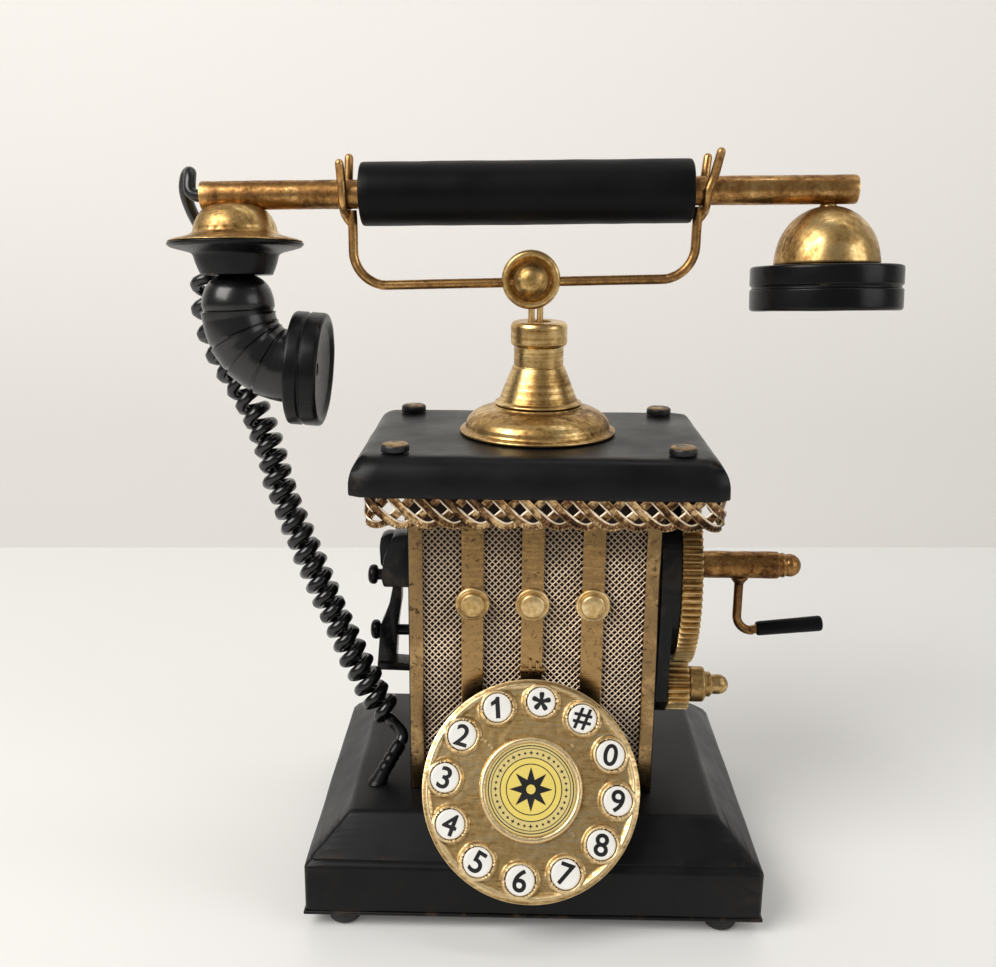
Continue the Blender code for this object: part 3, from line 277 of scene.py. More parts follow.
def paint_finish(name, base=(0.0028, 0.0030, 0.0035), rub=(0.13, 0.085, 0.045), wear=0.5,
                 rough=(0.27, 0.46), gloss=0.20):
    """Satin black paint over metal, cloudy in its gloss, rubbed to brown along edges."""
    s = Shading(name)
    cloud = s.noise(38.0, 5.0, 0.6)
    speck = s.noise(900.0, 3.0, 0.6)
    patch = s.noise(70.0, 6.0, 0.7, distortion=0.8)
    colour = s.mix(s.ramp(cloud, [(0.35, 0.0), (0.75, 1.0)]), base, tuple(c * 2.1 for c in base))
    edge = s.edges(0.515, 0.585)
    broken = s.ramp(patch, [(0.50, 0.0), (0.66, 1.0)])
    rubbed = s.maths("MULTIPLY", s.maths("MULTIPLY", edge, broken), wear)
    s.join(s.mix(rubbed, colour, rub), s.shader.inputs["Base Color"])
    s.join(s.ramp(cloud, [(0.30, rough[0]), (0.70, rough[1])]), s.shader.inputs["Roughness"])
    s.set(Specular_IOR_Level=gloss)
    s.bump(s.maths("ADD", s.maths("MULTIPLY", speck, 0.35), patch), 0.14, 0.00025)
    return s.material


def plastic_finish(name, base, rough, grain_scale=1400.0, depth=0.08, coat=0.0):
    """A moulded plastic or rubber: a faint cloud in its gloss and a fine skin texture."""
    s = Shading(name)
    cloud = s.noise(60.0, 4.0, 0.5)
    grain = s.noise(grain_scale, 3.0, 0.6)
    s.join(s.mix(cloud, tuple(c * 0.82 for c in base), tuple(min(1.0, c * 1.14) for c in base)),
           s.shader.inputs["Base Color"])
    s.join(s.ramp(cloud, [(0.3, max(0.05, rough - 0.07)), (0.7, rough + 0.08)]),
           s.shader.inputs["Roughness"])
    s.set(Coat_Weight=coat)
    s.bump(grain, depth, 0.00012)
    return s.material


def label_finish(name, base):
    """Printed paper under lacquer, slightly mottled."""
    s = Shading(name)
    fibre = s.noise(700.0, 5.0, 0.7)
    cloud = s.noise(120.0, 3.0, 0.5)
    s.join(s.mix(s.maths("MULTIPLY", s.maths("ADD", fibre, cloud), 0.5), tuple(c * 0.86 for c in base),
                 tuple(min(1.0, c * 1.1) for c in base)), s.shader.inputs["Base Color"])
    s.join(s.ramp(cloud, [(0.3, 0.30), (0.7, 0.48)]), s.shader.inputs["Roughness"])
    s.bump(fibre, 0.05, 0.0001)
    return s.material


def bolt_finish():
    """Black paint worn to brass on top."""
    s = Shading("bolt_worn_paint")
    up = s.add("ShaderNodeSeparateXYZ")
    s.join(s.add("ShaderNodeNewGeometry").outputs["Normal"], up.inputs["Vector"])
    facing = s.ramp(up.outputs["Z"], [(0.55, 0.0), (0.95, 1.0)])
    patch = s.ramp(s.noise(330.0, 5.0, 0.7), [(0.38, 0.0), (0.60, 1.0)])
    worn = s.maths("MULTIPLY", facing, patch)
    s.join(s.mix(worn, (0.006, 0.006, 0.007), (0.46, 0.29, 0.12)), s.shader.inputs["Base Color"])
    s.join(worn, s.shader.inputs["Metallic"])
    s.join(s.ramp(patch, [(0.0, 0.5), (1.0, 0.36)]), s.shader.inputs["Roughness"])
    s.bump(s.noise(700.0, 4.0, 0.6), 0.2, 0.0002)
    return s.material


def make_finishes():
    dark, brown = (0.014, 0.007, 0.003), (0.13, 0.062, 0.020)
    gold, bright = (0.44, 0.265, 0.088), (0.84, 0.62, 0.29)
    return {
        "brass": brass_finish("antique_brass", dark, brown, gold, bright, 0.02, pits=0.25),
        "brass_turned": brass_finish("turned_brass", dark, brown, gold, bright, 0.04,
                                     streak_scale=(30.0, 30.0, 900.0), weights=(0.42, 0.22, 0.36), pits=0.15,
                                     rough=(0.48, 0.22)),
        "brass_warm": brass_finish("copper_brass", dark, (0.11, 0.043, 0.014), (0.31, 0.155, 0.047),
                                   (0.76, 0.47, 0.19), -0.005, (0.0, math.pi / 2, 0.0),
                                   (200.0, 500.0, 60.0), (0.36, 0.26, 0.38), 0.6),
        # Strap brass: the lower part of each strap is painted lighter, painted light against the shade near
        # the dial.
        "brass_strap": brass_finish("strap_brass", dark, (0.060, 0.025, 0.008), (0.180, 0.092, 0.030),
                                    (0.46, 0.29, 0.120), -0.345, (0.0, math.radians(62), 0.0),
                                    (90.0, 90.0, 700.0), (0.50, 0.35, 0.78), 0.85, painted_light_heights=(0.104, 0.078)),
        "brass_strip": brass_finish("strip_brass", dark, (0.050, 0.022, 0.008), (0.158, 0.085, 0.028),
                                    (0.44, 0.285, 0.13), -0.43, weights=(0.75, 0.50, 0.55), pits=1.0),
        # Stud brass: polished, and brighter than the other brass partly as a painted highlight.
        "brass_stud": brass_finish("stud_brass", dark, (0.24, 0.13, 0.045), (0.60, 0.40, 0.16),
                                   (0.92, 0.73, 0.42), 0.04, pits=0.3, rough=(0.55, 0.34)),
        "brass_trim": brass_finish("trim_brass", (0.010, 0.005, 0.0025), (0.080, 0.032, 0.012),
                                   (0.27, 0.140, 0.055), (0.66, 0.45, 0.22), -0.43,
                                   weights=(0.80, 0.60, 0.40), pits=0.6, metallic=0.8),
        # Rim brass: a lighter copy of the trim brass, its brightness a painted highlight.
        "brass_rim": brass_finish("rim_brass", (0.05, 0.025, 0.012), (0.22, 0.12, 0.06),
                                  (0.62, 0.44, 0.27), (1.0, 0.86, 0.66), -0.41, weights=(0.80, 0.60, 0.40),
                                  rough=(0.5, 0.34), metallic=0.6),
        "brass_gear": brass_finish("gear_brass", dark, (0.15, 0.080, 0.028), (0.38, 0.23, 0.080),
                                   (0.80, 0.58, 0.28), 0.0, pits=0.4),
        "wire": brass_finish("wire_brass", (0.03, 0.016, 0.010), (0.17, 0.105, 0.065), (0.37, 0.25, 0.16),
                             (0.84, 0.68, 0.50), -0.32, weights=(1.15, 0.30, 0.15), rough=(0.55, 0.42),
                             metallic=0.5),
        "backing": paint_finish("brown_backing", (0.013, 0.0060, 0.0048), wear=0.1, rough=(0.5, 0.7)),
        # Dial gold: the tops of the key rims are painted bright by height, a painted highlight.
        "dial": brass_finish("dial_gold", (0.07, 0.036, 0.012), (0.24, 0.140, 0.050),
                             (0.52, 0.345, 0.140), (0.93, 0.73, 0.42), 0.015, (0.0, 0.0, math.radians(35)),
                             weights=(0.34, 0.26, 0.40), pits=0.35, painted_light_heights=(0.0002, 0.0008)),
        "brass_arm": brass_finish("arm_brass", dark, (0.07, 0.028, 0.010), (0.15, 0.070, 0.024),
                                  (0.50, 0.29, 0.12), -0.01, (0.0, math.pi / 2, 0.0),
                                  (200.0, 500.0, 60.0), (0.36, 0.26, 0.38), 0.6),
        "black": paint_finish("black_paint"),
        "bolt": bolt_finish(),
        "grip": paint_finish("grip_paint", (0.0016, 0.0017, 0.0020), wear=0.3, rough=(0.36, 0.52),
                             gloss=0.12),
        "black_side": paint_finish("black_side_paint", wear=0.3),
        "moulding": paint_finish("black_moulding", (0.0028, 0.0028, 0.0033), (0.12, 0.085, 0.05), 0.7,
                                 (0.20, 0.36)),
        "neck": plastic_finish("neck_black", (0.0030, 0.0030, 0.0034), 0.26, 900.0, 0.10, 0.12),
        "cord": plastic_finish("cord_black", (0.0028, 0.0028, 0.0032), 0.24, 1100.0, 0.06, 0.12),
        "key": plastic_finish("key_white", (0.82, 0.81, 0.77), 0.26, 1600.0, 0.03, 0.3),
        "ink": plastic_finish("key_ink", (0.004, 0.004, 0.005), 0.42),
        "label": label_finish("label_cream", (0.66, 0.53, 0.20)),
        "label_pale": label_finish("label_yellow", (0.76, 0.60, 0.14)),
        "rubber": plastic_finish("foot_rubber", (0.008, 0.008, 0.008), 0.62, 700.0, 0.2),
        "steel": brass_finish("spring_steel", (0.10, 0.10, 0.10), (0.25, 0.25, 0.26), (0.45, 0.45, 0.46),
                              (0.65, 0.65, 0.66)),
        "iron": paint_finish("magneto_iron", (0.05, 0.05, 0.05), (0.2, 0.15, 0.1), 0.3),
    }


# ---------------- mesh helpers
def make_piece(name, points, faces, finish, body, place=AXIS, stands_for=(), slot=None, sharp=38.0):
    """A mesh piece on its body. It replaces the CAD nodes that it stands for."""
    mesh = bpy.data.meshes.new(name)
    mesh.from_pydata([tuple(p) for p in points], [], faces)
    mesh.update()
    cleaner = bmesh.new()
    cleaner.from_mesh(mesh)
    bmesh.ops.recalc_face_normals(cleaner, faces=cleaner.faces)
    cleaner.to_mesh(mesh)
    cleaner.free()
    mesh.shade_smooth()
    mesh.set_sharp_from_angle(angle=math.radians(sharp))
    mesh.materials.append(finish)
    obj = bpy.data.objects.new(name, mesh)
    bpy.context.scene.collection.objects.link(obj)
    obj.matrix_world = place
    if body:
        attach(obj, body)
    if stands_for:
        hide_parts(*stands_for)
    return obj


class Shape:
    """Points and faces gathered from several simple solids."""

    def __init__(self):
        self.points, self.faces = [], []

    def rings(self, rings, cap_start=True, cap_end=True, wrap=False):
        """Joins rings of points in order. A ring of one point is a tip."""
        starts = []
        for ring in rings:
            starts.append(len(self.points))
            self.points += [Vector(p) for p in ring]
        pairs = list(zip(range(len(rings)), range(1, len(rings))))
        if wrap:
            pairs.append((len(rings) - 1, 0))
        for a, b in pairs:
            na, nb = len(rings[a]), len(rings[b])
            for i in range(max(na, nb)):
                j = (i + 1) % max(na, nb)
                corners = [starts[a] + i % na, starts[a] + j % na, starts[b] + j % nb, starts[b] + i % nb]
                corners = list(dict.fromkeys(corners))
                if len(corners) > 2:
                    self.faces.append(corners)
        if not wrap:
            if cap_start and len(rings[0]) > 2:
                self.faces.append([starts[0] + i for i in range(len(rings[0]))])
            if cap_end and len(rings[-1]) > 2:
                self.faces.append([starts[-1] + i for i in range(len(rings[-1]))])
        return self

    def moved(self, matrix):
        self.points = [matrix @ p for p in self.points]
        return self

    def add(self, other):
        start = len(self.points)
        self.points += other.points
        self.faces += [[start + i for i in face] for face in other.faces]
        return self

    def jitter(self, amount, scale, seed=0.0):
        """Small hand-made unevenness: each point shifts by smooth noise."""
        shift = Vector((seed, seed * 1.7, seed * 0.6))
        self.points = [p + amount * noise.noise_vector(p * scale + shift) for p in self.points]
        return self

    def piece(self, name, finish, body, **more):
        return make_piece(name, self.points, self.faces, finish, body, **more)


def softened(profile, radius, steps=4):
    """The profile with each inner corner rounded off by a small arc."""
    done = [Vector(profile[0])]
    for before, corner, after in zip(profile, profile[1:], profile[2:]):
        a, c, b = Vector(before), Vector(corner), Vector(after)
        back, on = (a - c), (b - c)
        reach = min(radius, back.length * 0.45, on.length * 0.45)
        if back.angle(on, math.pi) > math.radians(172) or reach < 1e-6:
            done.append(c)
            continue
        p, q = c + back.normalized() * reach, c + on.normalized() * reach
        for k in range(steps + 1):
            t = k / steps
            done.append((1 - t) ** 2 * p + 2 * t * (1 - t) * c + t * t * q)
    done.append(Vector(profile[-1]))
    return [(p[0], p[1]) for p in done]


def turned(profile, sides=96, wrap=False, soft=0.0004):
    """Solid of revolution about Z from (radius, height) points. wrap closes a ring."""
    outline = softened(profile, soft) if soft else profile
    if wrap and soft:
        outline = softened(list(profile) + [profile[0]], soft)[:-1]
    rings = []
    for radius, height in outline:
        if radius <= 1e-7:
            rings.append([(0.0, 0.0, height)])
        else:
            rings.append([(radius * math.cos(2 * math.pi * i / sides),
                           radius * math.sin(2 * math.pi * i / sides), height) for i in range(sides)])
    return Shape().rings(rings, wrap=wrap)


def smooth_route(route, spacing):
    """Points along a Catmull-Rom curve through the route, about one spacing apart."""
    knots = [Vector(p) for p in route]
    ends = [knots[0] * 2 - knots[1]] + knots + [knots[-1] * 2 - knots[-2]]
    points = [knots[0]]
    for before, start, end, after in zip(ends, ends[1:], ends[2:], ends[3:]):
        steps = max(1, round((end - start).length / spacing))
        for k in range(1, steps + 1):
            t = k / steps
            points.append(0.5 * (2 * start + (end - before) * t
                                 + (2 * before - 5 * start + 4 * end - after) * t * t
                                 + (3 * start - before - 3 * end + after) * t ** 3))
    return points


def frames_along(points):
    """(point, sideways, other way) for each point, turning as little as possible."""
    side, result = None, []
    for i, point in enumerate(points):
        ahead = (points[min(i + 1, len(points) - 1)] - points[max(i - 1, 0)]).normalized()
        side = ahead.orthogonal().normalized() if side is None else side
        side = (side - ahead * side.dot(ahead)).normalized()
        result.append((point, side, ahead.cross(side)))
    return result


def swept(points, radius, sides=20, dome_ends=False):
    """A round wire along points. radius is a number or a function of the share along it."""
    size = radius if callable(radius) else (lambda share: radius)
    points = [Vector(p) for p in points]
    rings = []
    count = len(points) - 1
    for i, (point, side, other) in enumerate(frames_along(points)):
        r = size(i / count)
        rings.append([point + r * (math.cos(a) * side + math.sin(a) * other)
                      for a in (2 * math.pi * k / sides for k in range(sides))])
    if dome_ends:
        for at_start in (True, False):
            centre = points[0] if at_start else points[-1]
            outward = (points[0] - points[1]) if at_start else (points[-1] - points[-2])
            outward.normalize()
            end_ring = rings[0] if at_start else rings[-1]
            bulge = size(0 if at_start else 1)
            extra = [[centre + (p - centre) * math.cos(t) + outward * bulge * math.sin(t)
                      for p in end_ring] for t in (0.45, 0.9, 1.25)]
            tip = [centre + outward * bulge]
            if at_start:
                rings = [tip] + extra[::-1] + rings
            else:
                rings = rings + extra + [tip]
    return Shape().rings(rings)


def arc(centre, radius, start, end, steps):
    angles = [math.radians(start + (end - start) * k / steps) for k in range(steps + 1)]
    return [(centre[0] + radius * math.cos(t), centre[1] + radius * math.sin(t)) for t in angles]


def rounded_rectangle(half_x, half_y, radius, steps=6):
    outline = []
    for sx, sy, start in ((1, 1, 0), (-1, 1, 90), (-1, -1, 180), (1, -1, 270)):
        outline += arc((sx * (half_x - radius), sy * (half_y - radius)), radius, start, start + 90, steps)
    return outline


def split_sides(outline, z, spacing=0.006):
    """The closed outline at height z, with points added along its long sides."""
    ring = []
    for (ax, ay), (bx, by) in zip(outline, outline[1:] + outline[:1]):
        count = max(1, int(math.hypot(bx - ax, by - ay) / spacing))
        ring += [(ax + (bx - ax) * i / count, ay + (by - ay) * i / count, z) for i in range(count)]
    return ring


def block(low, high, edge=0.0003, steps=3):
    """A box with rounded upright corners and rounded rims."""
    cx, cy = (low[0] + high[0]) / 2, (low[1] + high[1]) / 2
    hx, hy = (high[0] - low[0]) / 2, (high[1] - low[1]) / 2
    rings = []
    levels = [(edge * (1 - math.sin(t)), low[2] + edge * (1 - math.cos(t)))
              for t in (0.5 * math.pi * k / steps for k in range(steps + 1))]
    levels += [(inset, high[2] - (z - low[2])) for inset, z in reversed(levels)]
    for inset, z in levels:
        outline = rounded_rectangle(hx - inset, hy - inset, max(edge - inset, 0.00002), steps)
        rings.append([(cx + x, cy + y, z) for x, y in outline])
    return Shape().rings(rings)


# ---------------- cord
WIRE_RADIUS = 0.00205
CURL_RADIUS = 0.0063
CURL_PITCH_LOW, CURL_PITCH_HIGH = 0.0057, 0.0084
CORD_HEAD_ROUTE = [
    (-0.1125, 0.0000, 0.2336), (-0.1141, 0.0000, 0.2337), (-0.1158, 0.0005, 0.2352),
    (-0.1161, 0.0018, 0.2386), (-0.1164, 0.0040, 0.2410), (-0.1184, 0.0064, 0.2400),
    (-0.1200, 0.0092, 0.2350), (-0.1198, 0.0140, 0.2290), (-0.1188, 0.0196, 0.2232),
    (-0.1174, 0.0236, 0.2174), (-0.1170, 0.0241, 0.2144), (-0.11718, 0.02349, 0.2120),
]
CURL_ROUTE = [
    (-0.1172, 0.0234, 0.2115), (-0.1176, 0.0218, 0.2040), (-0.1176, 0.0200, 0.1970),
    (-0.1162, 0.0184, 0.1890), (-0.1128, 0.0166, 0.1800), (-0.1078, 0.0146, 0.1716),
    (-0.1026, 0.0118, 0.1640), (-0.0982, 0.0090, 0.1562), (-0.0944, 0.0062, 0.1470),
    (-0.0912, 0.0034, 0.1370), (-0.0878, 0.0012, 0.1272), (-0.0838, -0.0006, 0.1178),
    (-0.0798, -0.0024, 0.1090), (-0.0754, -0.0046, 0.0990), (-0.0708, -0.0068, 0.0892),
    (-0.0656, -0.0092, 0.0788), (-0.0600, -0.0118, 0.0686), (-0.0548, -0.0138, 0.0594),
    (-0.0512, -0.0150, 0.0540),
]
CORD_TAIL_ROUTE = [
    (-0.0509, -0.0151, 0.0536), (-0.0496, -0.0151, 0.0520), (-0.0482, -0.0153, 0.0506),
    (-0.0469, -0.0158, 0.0492), (-0.0463, -0.0165, 0.0478), (-0.0465, -0.0173, 0.0467),
    (-0.0469, -0.0178, 0.0461),
]
GROMMET_TOP, GROMMET_FOOT = (-0.0471, -0.0181, 0.0459), (-0.0545, -0.0270, 0.0354)
TURN_POINTS = 16


def curl_points():
    """The helix around the curl's route: slack turns at the top, close ones below."""
    line = smooth_route(CURL_ROUTE, 0.00035)
    frames = frames_along(line)
    length = sum((b - a).length for a, b in zip(line, line[1:]))
    reach = CURL_RADIUS - WIRE_RADIUS
    points, travelled, turn, last = [], 0.0, 0.0, -1.0
    for i, (point, side, other) in enumerate(frames):
        if i:
            step = (line[i] - line[i - 1]).length
            travelled += step
            height_share = (point.z - line[-1].z) / (line[0].z - line[-1].z)
            slack = min(1.0, max(0.0, (height_share - 0.62) / 0.25))
            turn += step / (CURL_PITCH_LOW + (CURL_PITCH_HIGH - CURL_PITCH_LOW) * slack)
        if turn - last < 1.0 / TURN_POINTS:
            continue
        last = turn
        grow = min(1.0, travelled / 0.004, (length - travelled) / 0.004)
        uneven = 1.0 + 0.025 * noise.noise(Vector((turn * 0.9, 3.1, 0.0)))
        radius = reach * math.sin(0.5 * math.pi * max(0.0, grow)) * min(1.0, uneven)
        angle = 2 * math.pi * turn
        points.append(point + radius * (math.cos(angle) * side + math.sin(angle) * other))
    return points


def build_cord(finish):
    head = smooth_route(CORD_HEAD_ROUTE, 0.0008)
    tail = smooth_route(CORD_TAIL_ROUTE, 0.0008)
    rough = tail[::-1] + curl_points()[::-1][1:-1] + head[::-1]
    path = [rough[0]]
    for point in rough[1:]:
        if (point - path[-1]).length > 0.0006:
            path.append(point)
    eased = path[:]
    for k in range(1, len(path) - 1):
        eased[k] = (path[k - 1] + 2 * path[k] + path[k + 1]) / 4
    path = [AXIS @ p for p in eased]
    shape = swept(path, WIRE_RADIUS, 16)
    cord = shape.piece("curly_cord", finish["cord"], None, place=Matrix.Identity(4),
                       stands_for=("cord_head", "cord_curl", "cord_tail"), slot="cord_black", sharp=60.0)
    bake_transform(cord)
    top, foot = Vector(GROMMET_TOP), Vector(GROMMET_FOOT)
    rings = []
    for share, radius in ((0.0, 0.0032), (0.04, 0.0033), (0.10, 0.0032), (0.14, 0.0028), (0.30, 0.0027),
                          (0.34, 0.0024), (0.38, 0.0027), (0.48, 0.0027), (0.52, 0.0023), (0.56, 0.0026),
                          (0.66, 0.0026), (0.70, 0.0022), (0.74, 0.0025), (0.90, 0.0025), (0.97, 0.0023),
                          (1.0, 0.0020)):
        facing = Vector((0.0, 0.0, 1.0)).lerp((top - foot).normalized(), share).normalized()
        sideways = facing.cross(Vector((0.0, 1.0, 0.0))).normalized()
        forward = facing.cross(sideways)
        rings.append([foot.lerp(top, share) + radius * (math.cos(a) * sideways + math.sin(a) * forward)
                      for a in (2 * math.pi * k / 32 for k in range(32))])
    grommet = Shape().rings(rings).piece("cord_strain_relief", finish["moulding"], "root",
                                         stands_for=("cord_grommet",), slot="cord_black")


# ---------------- base
def build_base(finish):
    low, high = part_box("base_plinth")
    hx, hy = (high[0] - low[0]) / 2, (high[1] - low[1]) / 2
    deck_x, deck_y, shoulder = 0.0610, 0.0449, 0.0228
    skirt = [(hx, hy, low[2]), (hx, hy, low[2] + 0.0004), (hx, hy, shoulder - 0.0013),
             (hx - 0.0002, hy - 0.0002, shoulder - 0.0005), (hx - 0.0008, hy - 0.0008, shoulder + 0.0002),
             (hx - 0.0018, hy - 0.0018, shoulder + 0.0011)]
    steps = 8
    for k in range(1, steps):
        t = k / steps
        skirt.append((hx + (deck_x - hx) * t, hy + (deck_y - hy) * t, shoulder + (high[2] - shoulder) * t))
    skirt += [(deck_x + 0.0012, deck_y + 0.0012, high[2] - 0.0009),
              (deck_x + 0.0003, deck_y + 0.0003, high[2] - 0.0002),
              (deck_x - 0.0007, deck_y - 0.0007, high[2])]
    corner = 0.0016
    rings = [split_sides(rounded_rectangle(x, y, corner, 5), z) for x, y, z in skirt]
    shape = Shape().rings(rings).jitter(0.00022, 55.0, 3.0)
    shape.piece("base_casting", finish["black"], "root", stands_for=("base_plinth",), slot="black_paint",
                sharp=50.0)

    low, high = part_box("base_plate")
    plate = block((low[0] - STEM.x, low[1] - STEM.y, low[2]), (high[0] - STEM.x, high[1] - STEM.y, high[2]),
                  0.0004)
    plate.piece("base_rim_plate", finish["black"], "root", stands_for=("base_plate",), slot="black_paint")

    for end in ("front", "rear"):
        for side in ("left", "right"):
            node = f"foot_{end}_{side}"
            centre = middle(node) - STEM
            foot = turned(mm((0, 0), (4, 0), (5.3, 1), (5.5, 2.6), (5.5, 4.6), (0, 4.6)), 40, soft=0.0007)
            foot.moved(Matrix.Translation((centre.x, centre.y, 0.0)))
            foot.piece(f"rubber_foot_{end}_{side}", finish["rubber"], "root", stands_for=(node,),
                       slot="foot_rubber")


# ---------------- body
MESH_PITCH_X, MESH_PITCH_Z = 0.0021, 0.00222
MESH_WIRE = 0.00020
HEADER_LOW, HEADER_HIGH = 0.1312, 0.1432
STRAP_HALF_WIDTH, STRAP_DEPTH = 0.0037, 0.0010
STUD_HEIGHT = 0.1036


def woven_wires(low, high, y):
    """Two sets of slanting wires, each passing over and under the other in turn."""
    shape = Shape()
    width, tall = high[0] - low[0], high[1] - low[1]
    slope = MESH_PITCH_Z / MESH_PITCH_X
    for rising in (1, -1):
        first = -int(tall / MESH_PITCH_Z) - 1 if rising == 1 else 0
        last_start = width if rising == 1 else width + tall / slope
        last = int(last_start / MESH_PITCH_X) + 1
        for k in range(first, last + 1):
            start_x = low[0] + k * MESH_PITCH_X
            points = []
            cells = int(width / (MESH_PITCH_X / 2)) + 2
            for i in range(cells + 1):
                x = low[0] + i * MESH_PITCH_X / 2
                z = low[1] + rising * (x - start_x) * slope
                if low[0] <= x <= high[0] and low[1] <= z <= high[1]:
                    over = 1 if (i + k) % 2 else -1
                    points.append(Vector((x, y + rising * over * MESH_WIRE * 0.55, z)))
            if len(points) > 1:
                shape.rings([[p + MESH_WIRE * Vector((0.0, -1.0, 0.0)),
                              p + MESH_WIRE * Vector((rising * -0.7, 0.0, 0.75)),
                              p + MESH_WIRE * Vector((0.0, 1.0, 0.0)),
                              p + MESH_WIRE * Vector((rising * 0.7, 0.0, -0.75))] for p in points])
    return shape


def build_body(finish):
    low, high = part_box("front_mesh")
    lx, hx = low[0] - STEM.x, high[0] - STEM.x
    back = high[1] - STEM.y
    panel = block((lx, back - 0.0003, low[2]), (hx, back, high[2]), 0.0001)
    panel.piece("mesh_backing", finish["backing"], "root", slot="black_paint")
    wires = woven_wires((lx + 0.0004, low[2] + 0.0004), (hx - 0.0004, high[2] - 0.0004), back - 0.0008)
    wires.piece("woven_mesh", finish["wire"], "root", stands_for=("front_mesh",),
                slot="antique_brass", sharp=80.0)

    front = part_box("strap_centre")[1][1] - STEM.y - STRAP_DEPTH
    overhang = 0.0030
    header = block((lx - overhang, front - 0.0006, HEADER_LOW),
                   (hx + overhang, front + 0.0004, HEADER_HIGH), 0.0002)
    header.piece("header_band", finish["backing"], "root", slot="black_paint")

    for side in ("left", "right"):
        low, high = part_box(f"corner_strip_{side}")
        outer = 0.0004 if side == "left" else 0.0
        strip = block((low[0] - STEM.x + outer, low[1] - STEM.y, low[2]),
                      (high[0] - STEM.x - 0.0004 + outer, high[1] - STEM.y, high[2]), 0.0003)
        strip.piece(f"corner_band_{side}", finish["brass_strip"], "root",
                    stands_for=(f"corner_strip_{side}",), slot="antique_brass")

    for label in ("left", "centre", "right"):
        centre = middle(f"strap_{label}") - STEM
        low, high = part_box(f"strap_{label}")
        front = high[1] - STEM.y - STRAP_DEPTH
        strap = block((centre.x - STRAP_HALF_WIDTH, front, low[2]),
                      (centre.x + STRAP_HALF_WIDTH, front + STRAP_DEPTH, high[2]), 0.0003)
        stud = turned(mm(
            (0, -0.4), (5.7, -0.4), (5.8, 0.2), (5.6, 0.8), (5.1, 1.1), (4.7, 0.9), (4.4, 0.9), (4.3, 1.3),
            (4.2, 2), (3.7, 2.6), (2.2, 2.95), (0, 3)), 64, soft=0.0002)
        stud.moved(Matrix.Translation((centre.x, front, STUD_HEIGHT)) @ Matrix.Rotation(math.pi / 2, 4, "X"))
        if label == "centre":
            strap.add(strap_clip(front))
        strap.piece(f"strap_band_{label}", finish["brass_strap"], "root",
                    stands_for=(f"strap_{label}",), slot="antique_brass")
        # Studs in a brighter brass: polish, and partly a painted highlight.
        stud.piece(f"strap_stud_{label}", finish["brass_stud"], "root", slot="antique_brass")


def strap_clip(front):
    """The small folded clip across the foot of the middle strap."""
    clip = block((-0.0052, front - 0.0006, 0.0792), (0.0034, front + 0.0002, 0.0812), 0.0003)
    clip.add(block((-0.0022, front - 0.0010, 0.0786), (-0.0010, front, 0.0842), 0.0003))
    clip.add(block((0.0002, front - 0.0010, 0.0786), (0.0014, front, 0.0832), 0.0003))
    return clip


# ---------------- trim
TRIM_REPEATS = 46
TRIM_SLOPE = 1.22
STRAND_HALF_FOOT, STRAND_HALF_ARM = 0.00125, 0.00145
RIM = 0.20
RIM_ANGLES = [2 * math.pi * k / 6 for k in range(6)]
NOTCH_DEPTH = 0.34


def perimeter_point(share, half_x, half_y, corner):
    """A place and the outward way on a rounded rectangle, by the share of its way round."""
    runs = [2 * (half_x - corner), 2 * (half_y - corner)] * 2
    bend = 0.5 * math.pi * corner
    along = (share % 1.0) * (sum(runs) + 4 * bend)
    heading = 0.0
    x, y = -(half_x - corner), -half_y
    for run in runs:
        ahead = Vector((math.cos(heading), math.sin(heading), 0.0))
        outward = Vector((math.sin(heading), -math.cos(heading), 0.0))
        if along <= run:
            return Vector((x, y, 0.0)) + ahead * along, outward
        along -= run
        x, y = x + ahead.x * run, y + ahead.y * run
        if along <= bend:
            turn = along / corner
            centre = Vector((x, y, 0.0)) - outward * corner
            out = Vector((math.sin(heading + turn), -math.cos(heading + turn), 0.0))
            return centre + out * corner, out
        along -= bend
        centre = Vector((x, y, 0.0)) - outward * corner
        heading += 0.5 * math.pi
        outward = Vector((math.sin(heading), -math.cos(heading), 0.0))
        x, y = centre.x + outward.x * corner, centre.y + outward.y * corner
    return Vector((x, y, 0.0)), outward


